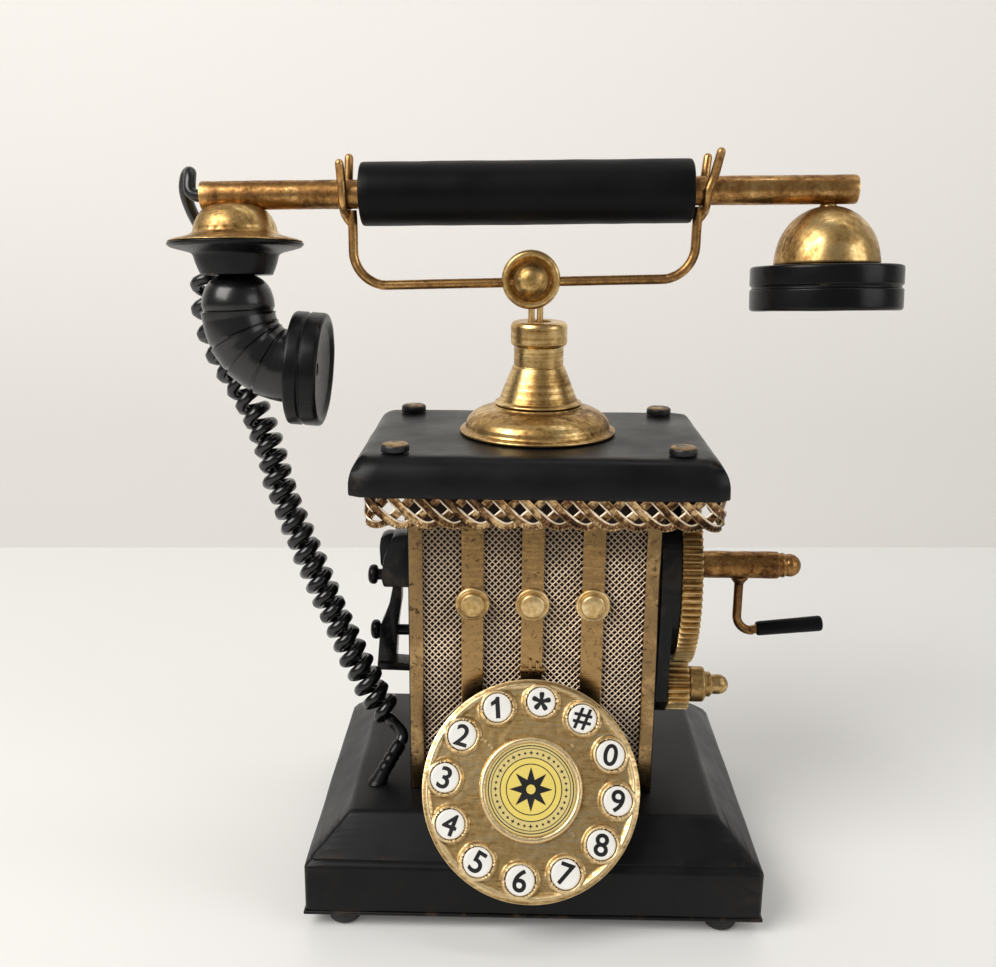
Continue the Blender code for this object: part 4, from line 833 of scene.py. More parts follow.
def build_trim(finish):
    """The braid under the cover: strands that rise both ways from the foot of each loop.

    A strand's section is given as (w, t): w runs across it from -1 to 1, t outward from its middle.
    Past the strand's neighbour its upper edge loses its rim, painted bright as a highlight,
    and its lower edge gains one.
    """
    low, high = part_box("lattice_trim")
    half_x, half_y = (high[0] - low[0]) / 2 - 0.0012, (high[1] - low[1]) / 2 - 0.0012
    corner = 0.0030
    length = 4 * (half_x + half_y - 2 * corner) + 2 * math.pi * corner
    period = length / TRIM_REPEATS
    bottom, top = low[2] + STRAND_HALF_FOOT + 0.0001, high[2] - 0.0002
    round_off, weave, thick, notch_pitch = 0.0068, 0.0005, 0.0011, 0.0010
    section = [(-1.0, 0.10), (-0.92, 0.34), (-0.70, 0.28), (-0.35, 0.18), (0.0, 0.14), (0.35, 0.18),
               (0.70, 0.28), (0.92, 0.34), (1.0, 0.10), (0.9, -0.45), (-0.9, -0.45)]
    rise = top - bottom
    reach = math.sqrt((rise + round_off) ** 2 - round_off ** 2) / TRIM_SLOPE
    shape, rims = Shape(), Shape()
    steps, half = 36, period / 2
    line = []
    for i in range(-steps, steps + 1):
        u = reach * i / steps
        z = bottom + math.sqrt((TRIM_SLOPE * u) ** 2 + round_off ** 2) - round_off
        lift = math.sin(0.5 * math.pi * min(1.0, abs(u) / half))
        line.append((u, z, (-weave if u > 0 else weave) * lift))
    for k in range(TRIM_REPEATS):
        rings, upper, lower = [], [], []
        for i, (u, z, lift) in enumerate(line):
            before, after = line[max(i - 1, 0)], line[min(i + 1, len(line) - 1)]
            du, dz = after[0] - before[0], after[1] - before[1]
            size = math.hypot(du, dz)
            across = (-dz / size, du / size)
            share = min(1.0, abs(u) / half)
            wide = STRAND_HALF_FOOT + (STRAND_HALF_ARM - STRAND_HALF_FOOT) * share * share * (3 - 2 * share)
            notch = max(0.0, math.cos(2 * math.pi * u / notch_pitch)) * max(0.0, 1.0 - 0.6 * abs(u) / half)

            def spot(w, t):
                uu, zz = u + across[0] * w * wide, min(z + across[1] * w * wide, top)
                place, out = perimeter_point((k * period + uu) / length, half_x, half_y, corner)
                return place + out * (t * thick + lift) + Vector((0.0, 0.0, zz))

            def rim_ring(w, t, wider, taller, fade):
                return [spot(w + fade * RIM * math.cos(a) * wider, t + taller * fade * RIM * math.sin(a))
                        for a in RIM_ANGLES]

            ring = []
            for w, t in section:
                notched = -0.95 < w < 0.2 and t > 0.12
                ring.append(spot(w, t - NOTCH_DEPTH * notch if notched else t))
            rings.append(ring)
            reach_in = abs(u) / half
            fade = min(1.0, (2.08 - reach_in) / 0.3)
            if fade > 0.05 and z + across[1] * (0.86 + 1.25 * RIM) * wide < top:
                upper.append(rim_ring(0.86, 0.42, 1.15, 1.2, fade))
            fade = min(1.0, (reach_in - 1.85) / 0.3)
            if u < 0 and fade > 0.05:
                lower.append(rim_ring(-0.86, 0.36, 1.0, 1.1, fade))
        shape.rings(rings)
        rims.rings(upper)
        rims.rings(lower)
    rail, band = [], Shape()
    rail_half, rail_foot, rail_steps = 0.0010, top - 0.0006, 240
    rail_section = ((rail_half, rail_foot), (rail_half, top), (-rail_half, top), (-rail_half, rail_foot))
    for i in range(rail_steps):
        place, out = perimeter_point(i / rail_steps, half_x, half_y, corner)
        rail.append([place + out * t + Vector((0.0, 0.0, z)) for t, z in rail_section])
    band.rings(rail, wrap=True)
    shift = Matrix.Translation(((low[0] + high[0]) / 2 - STEM.x, 0.0, 0.0))
    for part in (shape, rims, band):
        part.jitter(0.00008, 300.0, 9.0)
        part.moved(shift)
    # The rail is painted dark: partly the braid's plain top band, partly painted shadow under the cover's
    # lip.
    band.piece("trim_rail", finish["backing"], "root", slot="antique_brass")
    # The rims' brass is a lighter copy: a painted highlight along the strands' edges.
    rims.piece("trim_rims", finish["brass_rim"], "root", slot="antique_brass", sharp=70.0)
    shape.piece("braided_trim", finish["brass_trim"], "root", stands_for=("lattice_trim",),
                slot="antique_brass", sharp=50.0)


# ---------------- cover
COVER_LIP = 0.0006


def build_cover(finish):
    low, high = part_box("top_cover")
    hx, hy = (high[0] - low[0]) / 2, (high[1] - low[1]) / 2
    drop = high[2] - low[2]
    inset_x, inset_y = 0.0060, 0.0070
    levels = mm((1, 0), (0.2, 0.2), (0, 0.8), (0, 2))
    steps = 10
    rings_at = [(hx - i, hy - i, low[2] + z - COVER_LIP) for i, z in levels]
    for k in range(1, steps + 1):
        t = 0.5 * math.pi * k / steps
        inset = 1 - math.cos(t)
        rings_at.append((hx - inset_x * inset, hy - inset_y * inset,
                         low[2] + 0.0022 + (drop - 0.0022) * math.sin(t)))
    flat_x, flat_y = hx - inset_x, hy - inset_y
    rings_at += [(flat_x - 0.0015, flat_y - 0.0015, high[2])]
    corner = 0.0022
    rings = [split_sides(rounded_rectangle(x, y, corner, 5), z) for x, y, z in rings_at]
    most = max(len(ring) for ring in rings)
    if min(len(ring) for ring in rings) != most:
        rings = [even_ring(ring, most) for ring in rings]
    cover = Shape().rings(rings).jitter(0.00020, 60.0, 11.0)
    cover.points = [Vector((p.x, p.y, min(p.z, high[2]))) for p in cover.points]
    cover.piece("cover_shell", finish["black"], "root", stands_for=("top_cover",), slot="black_paint",
                sharp=50.0)

    for end in ("front", "rear"):
        for side in ("left", "right"):
            node = f"cover_bolt_{end}_{side}"
            centre = middle(node) - STEM
            bottom, top = height_span(node)
            tall = top - bottom
            head = turned(mm((0, 0), (4.5, 0)) + mm(
                (4.5, -0.9), (4, -0.3), (2.6, 0), (0, 0), at=(0.0, tall)), 48, soft=0.0004)
            head.jitter(0.00012, 400.0, centre.x * 900.0)
            head.moved(Matrix.Translation((centre.x, centre.y, bottom)))
            head.piece(f"bolt_head_{end}_{side}", finish["bolt"], "root", stands_for=(node,),
                       slot="black_paint")


def even_ring(ring, count):
    """The same closed outline with count points, spaced evenly round it."""
    closed = ring + ring[:1]
    spans = [math.dist(a, b) for a, b in zip(closed, closed[1:])]
    total = sum(spans)
    result, k, passed = [], 0, 0.0
    for i in range(count):
        want = total * i / count
        while passed + spans[k] < want:
            passed += spans[k]
            k += 1
        t = (want - passed) / spans[k]
        result.append(tuple(a + (b - a) * t for a, b in zip(closed[k], closed[k + 1])))
    return result


# ---------------- pedestal and cradle
def build_pedestal(finish):
    base, top = height_span("pedestal_flange")
    flange = turned(mm(
        (0, 0), (26.4, 0), (26.8, 0.4), (26.7, 1), (25.8, 1.4), (25, 1.6), (24.7, 2.2), (24.5, 3.6),
        (23.7, 5), (22.2, 6.4), (20, 7.6), (17.6, 8.4), (15.8, 8.6), (15.2, 8.9),
        at=(0.0, base)) + mm((15, -0.1), (14.6, 0), (0, 0), at=(0.0, top)), 128)
    flange.piece("flange_turned", finish["brass"], "root", stands_for=("pedestal_flange",),
                 slot="antique_brass")
    base, top = height_span("pedestal_stem")
    outer = mm(
        (4.4, 0), (14.5, 0), (14.9, 0.3), (14.7, 0.8), (13.8, 1.1), (13.4, 1.3), (10.9, 7.7), (8.8, 12.8),
        (8.4, 13.1), (8.4, 19.6), (8.7, 19.9), (9.3, 20.3), (9.55, 21), at=(0.0, base)) + mm(
            (9.55, -1.4), (9.1, -0.4), (8.2, 0), (4.1, 0), (4.1, -11), (4.4, -11), at=(0.0, top))
    turned(outer, 128, wrap=True, soft=0.0003).piece(
        "stem_turned", finish["brass_turned"], "root", stands_for=("pedestal_stem",), slot="antique_brass")


def tube_axis_z(x):
    return HANDSET_MID[2] + math.tan(HANDSET_TILT) * (x - HANDSET_MID[0])


def build_cradle(finish):
    boss = (-0.0030, 0.0, 0.2074)
    left_x, right_x, fork_left, fork_right, bend = -0.0622, 0.0512, -0.0645, 0.0534, 0.0110
    slope = math.tan(math.radians(1.78))
    tube, clear, wire_radius = 0.0046, 0.0051, 0.0016

    def rail_z(x):
        return boss[2] - 0.0008 + slope * (x - boss[0])

    left_top, right_top = tube_axis_z(left_x) - clear, tube_axis_z(right_x) - clear
    left_rail, right_rail = rail_z(left_x + bend), rail_z(right_x - bend)
    path = mm((-0.2, 0), (0, -5), at=(left_x, left_top))
    path += arc((left_x + bend, left_rail + bend), bend, 180, 270, 9)
    path += [(x, rail_z(x)) for x in (-0.035, -0.020, boss[0], 0.012, 0.026)]
    path += arc((right_x - bend, right_rail + bend), bend, 270, 360, 9)
    path += mm((0.1, -5), (0.5, 0), at=(right_x, right_top))
    wobble = [(x, 0.0004 * noise.noise(Vector((x * 60, 0.0, 5.0))), z) for x, z in path]
    wire = swept(smooth_route(wobble, 0.0012), wire_radius, 24)
    prong = 0.0014
    for x, front, back in ((fork_left, (-0.0650, -0.0078, 0.2441), (-0.0640, 0.0072, 0.2461)),
                           (fork_right, (0.0566, -0.0078, 0.2486), (0.0548, 0.0070, 0.2472))):
        ring = tube + 0.0004 + prong
        centre = tube_axis_z(x)
        route = [front, ((front[0] + x) / 2, -ring, centre + 0.0045)]
        route += [(x, y, z) for y, z in arc((0.0, centre), ring, 180, 360, 10)]
        route += [((back[0] + x) / 2, ring, centre + 0.0045), back]
        wire.add(swept(smooth_route(route, 0.0010), lambda s: prong * (1.0 + 0.08 * math.sin(9 * s)), 20,
                       dome_ends=True))
        lean = 1 if x > 0 else -1
        knot = [(x + lean * 0.0004, 0.0, centre - ring + 0.0002),
                (x - lean * 0.0006, 0.0, centre - ring - 0.0018),
                (x - lean * 0.0018, 0.0, centre - ring - 0.0036)]
        wire.add(swept(knot, lambda s: prong - 0.0004 * s, 16, dome_ends=True))
    wire.piece("cradle_bent_wire", finish["brass_warm"], "cradle", stands_for=("cradle_wire",),
               slot="antique_brass", sharp=60.0)

    half = 0.0022
    disc = turned([(0.0, -half - 0.0034), (0.0030, -half - 0.0031), (0.0055, -half - 0.0016),
                   (0.0066, -half), (0.0089, -half), (0.0098, -half + 0.0008), (0.0098, half - 0.0010),
                   (0.0094, half - 0.0002), (0.0084, half + 0.0002), (0.0074, half - 0.0002),
                   (0.0068, half - 0.0010), (0.0063, half - 0.0012), (0.0060, half + 0.0002),
                   (0.0056, half + 0.0018), (0.0047, half + 0.0034), (0.0033, half + 0.0046),
                   (0.0017, half + 0.0052), (0.0, half + 0.0053)], 96, soft=0.0005)
    disc.moved(Matrix.Translation(boss) @ Matrix.Rotation(math.pi / 2, 4, "X"))
    plunger_x, apart = -0.0012, 0.0014
    for x in (plunger_x - apart, plunger_x + apart):
        disc.add(swept([(x, 0.0, 0.1775), (x, 0.0, 0.1900), (x * 1.05, 0.0, 0.1990)], 0.0011, 16))
    disc.add(turned(mm((0, 177), (3.7, 177), (3.7, 178.5), (0, 178.5)), 32))
    disc.piece("boss_turned", finish["brass"], "cradle", stands_for=("cradle_boss",), slot="antique_brass")


# ---------------- handset
TUBE_CLEARANCE = 0.00472


def build_handset(finish):
    low, high, r = -0.10845, 0.10635, 0.0047
    lines = [(0.0, low)] + mm((-0.9, 0), (-0.2, 0.2), (0, 0.8), at=(r, low))
    lines += [(r, low + 0.0008 + (high - low - 0.0016) * k / 60) for k in range(1, 60)]
    lines += mm((0, -0.8), (-0.2, -0.2), (-0.9, 0), at=(r, high)) + [(0.0, high)]
    tube = turned(lines, 48, soft=0.0).jitter(0.00010, 160.0, 2.0).moved(ALONG_X)
    tube.piece("handset_bar", finish["brass_warm"], "handset", place=HANDSET, stands_for=("handset_tube",),
               slot="antique_brass")

    low, high, r = -0.0555, 0.0528, 0.0103
    body = [(0.0050, low)] + mm((-0.9, 0), (-0.2, 0.4), (0, 1.2), at=(r, low))
    body += [(r, low + 0.0012 + (high - low - 0.0024) * k / 40) for k in range(1, 40)]
    body += mm((0, -1.2), (-0.2, -0.4), (-0.9, 0), at=(r, high)) + [(0.0050, high)]
    grip = turned(body, 96, wrap=True, soft=0.0).jitter(0.00014, 110.0, 6.0).moved(ALONG_X)
    grip.piece("grip_barrel", finish["grip"], "handset", place=HANDSET, stands_for=("grip_sleeve",),
               slot="black_paint")

    left = Matrix.Translation((TRANSMITTER_X, 0.0, 0.0))
    bell = turned(mm(
        (0, -15.1), (21.7, -15.1), (22, -14.9), (21.9, -14.7), (21.3, -14.4), (18.8, -13.8), (16, -13),
        (14.6, -12.4), (14, -11.9), (13.7, -11.2), (13.6, -10.2), (13.1, -8.8), (12.2, -7), (11.1, -5.4),
        (9.6, -4), (7.8, -3.2), (5.2, -2.7), (0, -2.6)), 96, soft=0.0002)
    bell.jitter(0.00010, 130.0, 8.0)
    bell.points = [p if math.hypot(p.y, p.z) > TUBE_CLEARANCE else
                   Vector((p.x, p.y, -math.sqrt(max(0.0, TUBE_CLEARANCE ** 2 - p.y ** 2))))
                   for p in bell.points]              # the bell's crown is pressed to the tube
    bell.moved(left)
    bell.piece("transmitter_bell", finish["brass"], "handset", place=HANDSET,
               stands_for=("transmitter_dome",), slot="antique_brass")
    cup = turned(mm(
        (0, -15.2), (21.9, -15.2), (22.3, -15.5), (22.2, -16.1), (21.3, -16.8), (18.8, -17.5), (16, -18.2),
        (14.7, -18.7), (14.1, -19.2), (13.8, -20), (13.4, -21.6), (12.7, -23.6), (12, -25.3), (11.7, -25.8),
        (0, -25.8)), 96, soft=0.0002)
    cup.jitter(0.00010, 140.0, 1.0).moved(left)
    cup.piece("transmitter_collar", finish["moulding"], "handset", place=HANDSET,
              stands_for=("transmitter_cup",), slot="black_plastic")
    build_elbow(finish)

    right = Matrix.Translation((RECEIVER_X, 0.0, 0.0))
    dome = mm(
        (0, -7.8), (6, -8.6), (10, -11.6), (13, -16.8), (14.8, -24), (16.5, -24.1), (17, -23.9),
        (17.1, -23.3))
    dome += [(0.0169 * math.cos(t), -0.0232 + 0.0181 * math.sin(t))
             for t in (0.5 * math.pi * k / 18 for k in range(1, 18))]
    dome += [(0.0, -0.0051)]
    ear_bell = turned(dome, 112, soft=0.0002).jitter(0.00010, 140.0, 12.0).moved(right)
    weld = turned(mm((0, -6.2), (3, -6), (2.8, -5), (2.1, -4.5), (1.4, -4.2), (0, -4.1)), 32, soft=0.0004)
    ear_bell.add(weld.jitter(0.0003, 500.0, 7.0).moved(right))
    ear_bell.piece("receiver_bell", finish["brass"], "handset", place=HANDSET,
                   stands_for=("receiver_dome",), slot="antique_brass")
    ear = 0.0246
    cap = [(0.0, -0.0245), (ear - 0.0008, -0.0245), (ear - 0.0002, -0.0248), (ear, -0.0254),
           (ear, -0.0307), (ear - 0.0006, -0.0311), (ear - 0.0007, -0.0318), (ear, -0.0323),
           (ear, -0.0381), (ear - 0.0003, -0.0388), (ear - 0.0010, -0.0391), (0.0210, -0.0391),
           (0.0201, -0.0386), (0.0194, -0.0376), (0.0188, -0.0320), (0.0180, -0.0310), (0.0026, -0.0306),
           (0.0024, -0.0309), (0.0, -0.0309)]
    turned(cap, 128, soft=0.0003).jitter(0.00008, 130.0, 14.0).moved(right).piece(
        "receiver_ear_cap", finish["moulding"], "handset", place=HANDSET, stands_for=("receiver_cap",),
        slot="black_plastic")


ELBOW_BEND, ELBOW_BEND_Z, ELBOW_RADIUS = 0.0190, -0.0376, 0.0120
ELBOW_END = math.radians(85.0)
ELBOW_SEAMS = [math.radians(a) for a in (0.0, 24.0, 41.0, 61.0)]


def build_elbow(finish):
    """The bent neck: a rounded head, then segments that overlap one another at dark seams."""
    stations = [((TRANSMITTER_X, z), 0.0, radius) for z, radius in (
        (-0.0252, 0.0050), (-0.0258, 0.0057), (-0.0262, 0.0066), (-0.0267, 0.0075), (-0.0273, 0.0084),
        (-0.0282, 0.0094),
        (-0.0292, 0.0102), (-0.0304, 0.0109), (-0.0316, 0.0113), (-0.0330, 0.0117), (-0.0344, 0.0119),
        (-0.0360, 0.0120))]
    for k in range(86):
        angle = ELBOW_END * k / 85
        radius = ELBOW_RADIUS
        for seam in ELBOW_SEAMS:
            past = math.degrees(angle - seam)
            if -1.2 < past <= 0.6:
                radius -= 0.00062
            elif 0.6 < past < 7.0:
                radius += 0.00030 * (1.0 - (past - 0.6) / 6.4)
        stations.append(((TRANSMITTER_X + ELBOW_BEND * (1 - math.cos(angle)),
                          ELBOW_BEND_Z - ELBOW_BEND * math.sin(angle)), angle, radius))
    rings = []
    for (x, z), angle, radius in stations:
        ring = []
        for j in range(72):
            turn = 2 * math.pi * j / 72
            across, aside = radius * math.cos(turn), radius * math.sin(turn)
            ring.append((x + across * math.cos(angle), aside, z + across * math.sin(angle)))
        rings.append(ring)
    elbow = Shape().rings(rings).jitter(0.00014, 120.0, 21.0)
    elbow.piece("transmitter_neck", finish["neck"], "handset", place=HANDSET,
                stands_for=("transmitter_elbow",), slot="black_plastic", sharp=60.0)

    (end_x, end_z), angle, _ = stations[-1]
    r, end = 0.0190, 0.0112
    mouth = [(0.0, 0.0002), (r - 0.0012, 0.0002), (r - 0.0003, 0.0005), (r, 0.0012), (r, 0.0045),
             (r - 0.0005, 0.0049), (r - 0.0006, 0.0055), (r, 0.0059), (r, end - 0.0012),
             (r - 0.0003, end - 0.0004), (r - 0.0010, end), (r - 0.0021, end), (r - 0.0026, end - 0.0003),
             (0.0150, end - 0.0012), (0.0105, end - 0.0020), (0.0060, end - 0.0026), (0.0027, end - 0.0028),
             (0.0023, end - 0.0029), (0.0021, end - 0.0034), (0.0021, end - 0.0055), (0.0, end - 0.0055)]
    piece = turned(mouth, 112, soft=0.0002).jitter(0.00008, 150.0, 4.0)
    piece.moved(Matrix.Translation((end_x, 0.0, end_z)) @ Matrix.Rotation(math.pi - angle, 4, "Y"))
    piece.piece("mouthpiece_disc", finish["moulding"], "handset", place=HANDSET, stands_for=("mouthpiece",),
                slot="black_plastic")


# ---------------- crank and gears
GEAR_MODULE = 0.0008


def gear_shape(teeth, centre, tooth_at, start, end, edge=0.00022, web=None):
    """Toothed rim with rounded tooth corners and eased faces.

    web gives the inner radius of the rim, how deep the outer face sinks inside it, and the hub's radius.
    """
    pitch = GEAR_MODULE * teeth / 2
    root, tip = pitch - 1.15 * GEAR_MODULE, pitch + 0.90 * GEAR_MODULE
    half_root = (0.785 + 0.40 - 0.16) * GEAR_MODULE / root
    half_tip = (0.785 - 0.36 - 0.12) * GEAR_MODULE / tip
    outline = []
    for k in range(teeth):
        mid = tooth_at + 2 * math.pi * k / teeth
        for radius, offset in ((root, -half_root), (root + 0.0003, -half_root * 0.86),
                               (tip - 0.00022, -half_tip * 1.18), (tip, -half_tip * 0.75),
                               (tip, half_tip * 0.75), (tip - 0.00022, half_tip * 1.18),
                               (root + 0.0003, half_root * 0.86), (root, half_root)):
            outline.append((radius, mid + offset))

    def ring(x, shrink):
        return [(x, centre[0] + (r - shrink) * math.cos(a), centre[1] + (r - shrink) * math.sin(a))
                for r, a in outline]

    def circle(x, radius):
        return [(x, centre[0] + radius * math.cos(a), centre[1] + radius * math.sin(a)) for _, a in outline]

    rings = [ring(start, edge), ring(start + edge, 0.0), ring(end - edge, 0.0), ring(end, edge)]
    if web:
        rim, depth, hub = web
        rings = ([circle(start + 0.0004, 0.0001), circle(start, hub), circle(start, root - 0.001)] + rings
                 + [circle(end, root - 0.0008), circle(end, rim), circle(end - depth, rim - 0.0010),
                    circle(end - depth, hub + 0.0012), circle(end - 0.0002, hub + 0.0004),
                    circle(end, hub), circle(end, 0.0001)])
    return Shape().rings(rings)


def build_crank(finish):
    gear_at = (0.0, GEAR_Z)
    pinion_at = (PINION.y, middle("pinion").z)
    line = math.atan2(pinion_at[1] - gear_at[1], pinion_at[0] - gear_at[0])
    low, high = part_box("crank_gear")
    start, end = low[0] - STEM.x, high[0] - STEM.x
    gear = gear_shape(85, gear_at, line + math.pi / 85, start, end, web=(0.0292, 0.0016, 0.0095))
    gear.piece("big_gear", finish["brass_gear"], "crank", stands_for=("crank_gear",), slot="antique_brass",
               sharp=30.0)

    r = 0.0048
    profile = [(0.0, 0.0345), (0.0028, 0.0345), (0.0030, 0.0350), (0.0030, start - 0.0001),
               (r, start - 0.0001), (r, 0.0540), (r - 0.0003, 0.0545)]
    profile += [(r - 0.0003 + 0.0003 * min(1.0, k / 3), 0.0548 + 0.0300 * k / 20) for k in range(21)]
    profile += mm(
        (0, 85.8), (-0.5, 86.4), (-0.6, 87.2), (-0.3, 87.8), (-0.6, 88.4), (-1, 88.8), (-0.8, 89.4),
        (-0.7, 90.6), (-1.1, 92), (-2, 93.2), (-3.2, 93.9), at=(r, 0.0)) + [(0.0, 0.0943)]
    shaft = turned(profile, 64, soft=0.0002).jitter(0.00014, 180.0, 5.0)
    shaft.moved(Matrix.Translation((0.0, *gear_at)) @ ALONG_X)
    arm_x = 0.0728
    grip_x, grip_z, tilt, length = 0.0800, 0.0840, math.radians(6.0), 0.0235
    rise = math.tan(tilt)
    corner_z = grip_z - rise * (grip_x - arm_x)
    route = [(arm_x, 0.0, GEAR_Z - 0.0030), (arm_x, 0.0, GEAR_Z - 0.0080), (arm_x, 0.0, GEAR_Z - 0.0150)]
    route += [(x, 0.0, z) for x, z in arc((arm_x + 0.0058, corner_z + 0.0058), 0.0058, 180, 270, 8)]
    route += [(grip_x + 0.0004, 0.0, grip_z)]
    end_x = grip_x + length - 0.0028
    route += [(end_x, 0.0, grip_z + rise * (end_x - grip_x))]
    arm = swept(smooth_route(route, 0.0008), 0.0016, 24)
    web = turned(mm((0, -8.2), (1.5, -8), (1.8, -6.8), (3, -5.2), (3.4, -4.2), (0, -3)), 32)
    web.jitter(0.0002, 400.0, 3.0).moved(Matrix.Translation((arm_x, 0.0, GEAR_Z)))
    arm.add(web)
    arm.piece("crank_arm", finish["brass_arm"], "crank", slot="antique_brass", sharp=50.0)
    shaft.piece("crank_spindle", finish["brass_warm"], "crank", stands_for=("crank_shaft",),
                slot="antique_brass", sharp=50.0)

    grip = turned([(0.0, length), (0.0021, length), (0.0026, length - 0.0004), (0.0028, length - 0.0010),
                   (0.0027, length * 0.6), (0.0026, 0.0012), (0.0025, 0.0004), (0.0022, 0.0),
                   (0.0019, 0.0), (0.0019, length - 0.0018), (0.0, length - 0.0018)], 48)
    grip.moved(Matrix.Translation((grip_x, 0.0, grip_z)) @ Matrix.Rotation(math.pi / 2 - tilt, 4, "Y"))
    grip.piece("crank_handle", finish["grip"], "crank_grip", stands_for=("crank_grip",), slot="black_paint")

    pinion_start, pinion_end = 0.0455, 0.0530
    pinion = gear_shape(20, pinion_at, line + math.pi, pinion_start, pinion_end)
    nose = turned(mm(
        (0, 29.2), (2.2, 29.2), (2.2, 46.8), (5, 46.8), (5, 53.2), (5.6, 53.4), (6.1, 53.9), (6.1, 58),
        (5.8, 58.6), (5.2, 58.9), (4.3, 59.1), (4.3, 60.8), (3.9, 61.2), (3.3, 61.5), (3.4, 62.8),
        (3.4, 64.2), (3.1, 65.4), (2.3, 66.5), (1.2, 67.1), (0, 67.3)), 64, soft=0.0002)
    pinion.add(nose.moved(Matrix.Translation((0.0, *pinion_at)) @ ALONG_X))
    pinion.piece("pinion_wheel", finish["brass_gear"], "pinion", stands_for=("pinion",),
                 slot="antique_brass", sharp=30.0)


# ---------------- left side bracket
def prism(outline, start, end, edge=0.0006):
    """A flat outline in X and Z, from start to end along Y, with eased rims."""
    cx = sum(x for x, _ in outline) / len(outline)
    cz = sum(z for _, z in outline) / len(outline)

    def ring(y, shrink):
        ring_points = []
        for x, z in outline:
            away = Vector((x - cx, z - cz))
            away = away.normalized() * max(0.0, away.length - shrink)
            ring_points.append((cx + away.x, y, cz + away.y))
        return ring_points

    return Shape().rings([ring(start, edge), ring(start + edge * 0.3, edge * 0.3), ring(start + edge, 0.0),
                          ring(end - edge, 0.0), ring(end - edge * 0.3, edge * 0.3), ring(end, edge)])


def build_bracket(finish):
    hood = softened(mm(
        (-48, 116), (-42, 116), (-42, 96.6), (-54, 96.6), (-54.8, 100), (-53.6, 108), (-51, 113.8),
        (-50.4, 115.8), (-48, 116)), 0.0009)[:-1]
    shape = prism(hood, 0.0030, 0.0150)
    back = softened(mm(
        (-50, 100), (-55.4, 103), (-55.8, 110), (-55.2, 114), (-53, 115.2), (-50, 115),
        (-50, 100)), 0.0012)[:-1]
    shape.add(prism(back, 0.0080, 0.0148))
    arm = softened(mm(
        (-48.2, 87), (-49, 81.3), (-49.9, 66), (-56.8, 66), (-55.4, 81.2), (-53.7, 85.2), (-52, 89.9),
        (-50.8, 95.8), (-50.5, 99), (-47.5, 99), (-47.7, 90), (-48.2, 87)), 0.0006)[:-1]
    shape.add(prism(arm, 0.0040, 0.0120, 0.0003))
    shelf = softened(mm(
        (-50, 63.9), (-42, 63.7), (-42, 66.2), (-48, 66.8), (-56.8, 67.2), (-56.8, 64.1),
        (-50, 63.9)), 0.0006)[:-1]
    shape.add(prism(shelf, 0.0034, 0.0126))
    wall_x = -0.0420
    for z, tip in ((0.0999, -0.0599), (0.0784, -0.0594)):
        reach = wall_x - tip
        pin = turned(mm((0, 0), (2, 0)) + mm(
            (2, -3.6), (3.1, -3.3), (3.6, -2.5), (3.6, -1.4), (3.1, -0.5), (1.8, 0), (0, 0),
            at=(0.0, reach)), 48)
        pin.moved(Matrix.Translation((wall_x, 0.0080, z)) @ Matrix.Rotation(-math.pi / 2, 4, "Y"))
        shape.add(pin)
    shape.points = [p + Vector((BODY_SHIFT_X, 0.0, 0.0)) for p in shape.points]
    shape.jitter(0.00010, 200.0, 2.0)
    shape.piece("side_bracket_cast", finish["moulding"], "root", stands_for=("side_bracket",),
                slot="black_paint", sharp=40.0)


# ---------------- dial and keys
DIAL_RADIUS = 0.0353
KEY_CIRCLE = 0.0282
KEYS = [("star", "*", 5), ("hash", "#", 12), ("0", "0", 12), ("9", "6", 188), ("8", "8", 10), ("7", "7", 18),
        ("6", "6", 12), ("5", "5", 29), ("4", "4", 20), ("3", "3", 19), ("2", "2", 15), ("1", "1", -4)]
FIRST_KEY_ANGLE = math.radians(6.5)
KEY_WELL = 0.0048
FIGURE_SIZE = 0.0097
BOLDER, COPY_LIFT = 0.00017, 0.000002                   # shifts of the copies that make up a bold figure


def dial_height(x, y):
    """Height of the dial's face: rolled edge, beaded key rims, sunk key wells and faint unevenness."""
    r = math.hypot(x, y)
    height = 0.0
    edge = (r - (DIAL_RADIUS - 0.0017)) / 0.0012
    if edge > -1.5:
        height += 0.0007 * math.exp(-edge * edge * 1.6)
    for index in range(len(KEYS)):
        angle = FIRST_KEY_ANGLE + 2 * math.pi * index / len(KEYS)
        d = math.hypot(x - KEY_CIRCLE * math.sin(angle), y - KEY_CIRCLE * math.cos(angle))
        if d < KEY_WELL:
            return -0.0012
        bead = (d - 0.00525) / 0.00062
        height = max(height, 0.0012 * math.exp(-bead * bead))
    return height + 0.00006 * noise.noise(Vector((x, y, 0.0)) * 420.0)


def dial_face():
    """The dial's face as a fine polar grid, each point lifted to dial_height."""
    turns, rows = 360, 96

    def circle(radius, lift=None):
        ring = []
        for i in range(turns):
            a = 2 * math.pi * i / turns
            x, y = radius * math.cos(a), radius * math.sin(a)
            ring.append((x, y, dial_height(x, y) if lift is None else lift))
        return ring

    rings = [[(0.0, 0.0, -0.0013)], circle(DIAL_RADIUS - 0.0006, -0.0013), circle(DIAL_RADIUS, -0.0007),
             circle(DIAL_RADIUS, 0.0)]
    for k in range(rows):
        rings.append(circle(DIAL_RADIUS - 0.0003 - (DIAL_RADIUS - 0.0168) * k / rows))
    rings += [circle(0.0165, 0.0), [(0.0, 0.0, 0.0)]]
    return Shape().rings(rings)


def flat_ring(inner, outer, z, sides=128, thick=0.00006):
    section = [(inner, z), (outer, z), (outer, z + thick), (inner, z + thick)]
    return turned(section, sides, wrap=True, soft=0.0)


def star_shape(points, outer, inner, z, thick=0.00008):
    ring = []
    for k in range(points * 2):
        radius = outer if k % 2 == 0 else inner
        a = math.pi * k / points + math.pi / 2
        ring.append((radius * math.cos(a), radius * math.sin(a)))
    return Shape().rings([[(x, y, z) for x, y in ring], [(x, y, z + thick) for x, y in ring]])


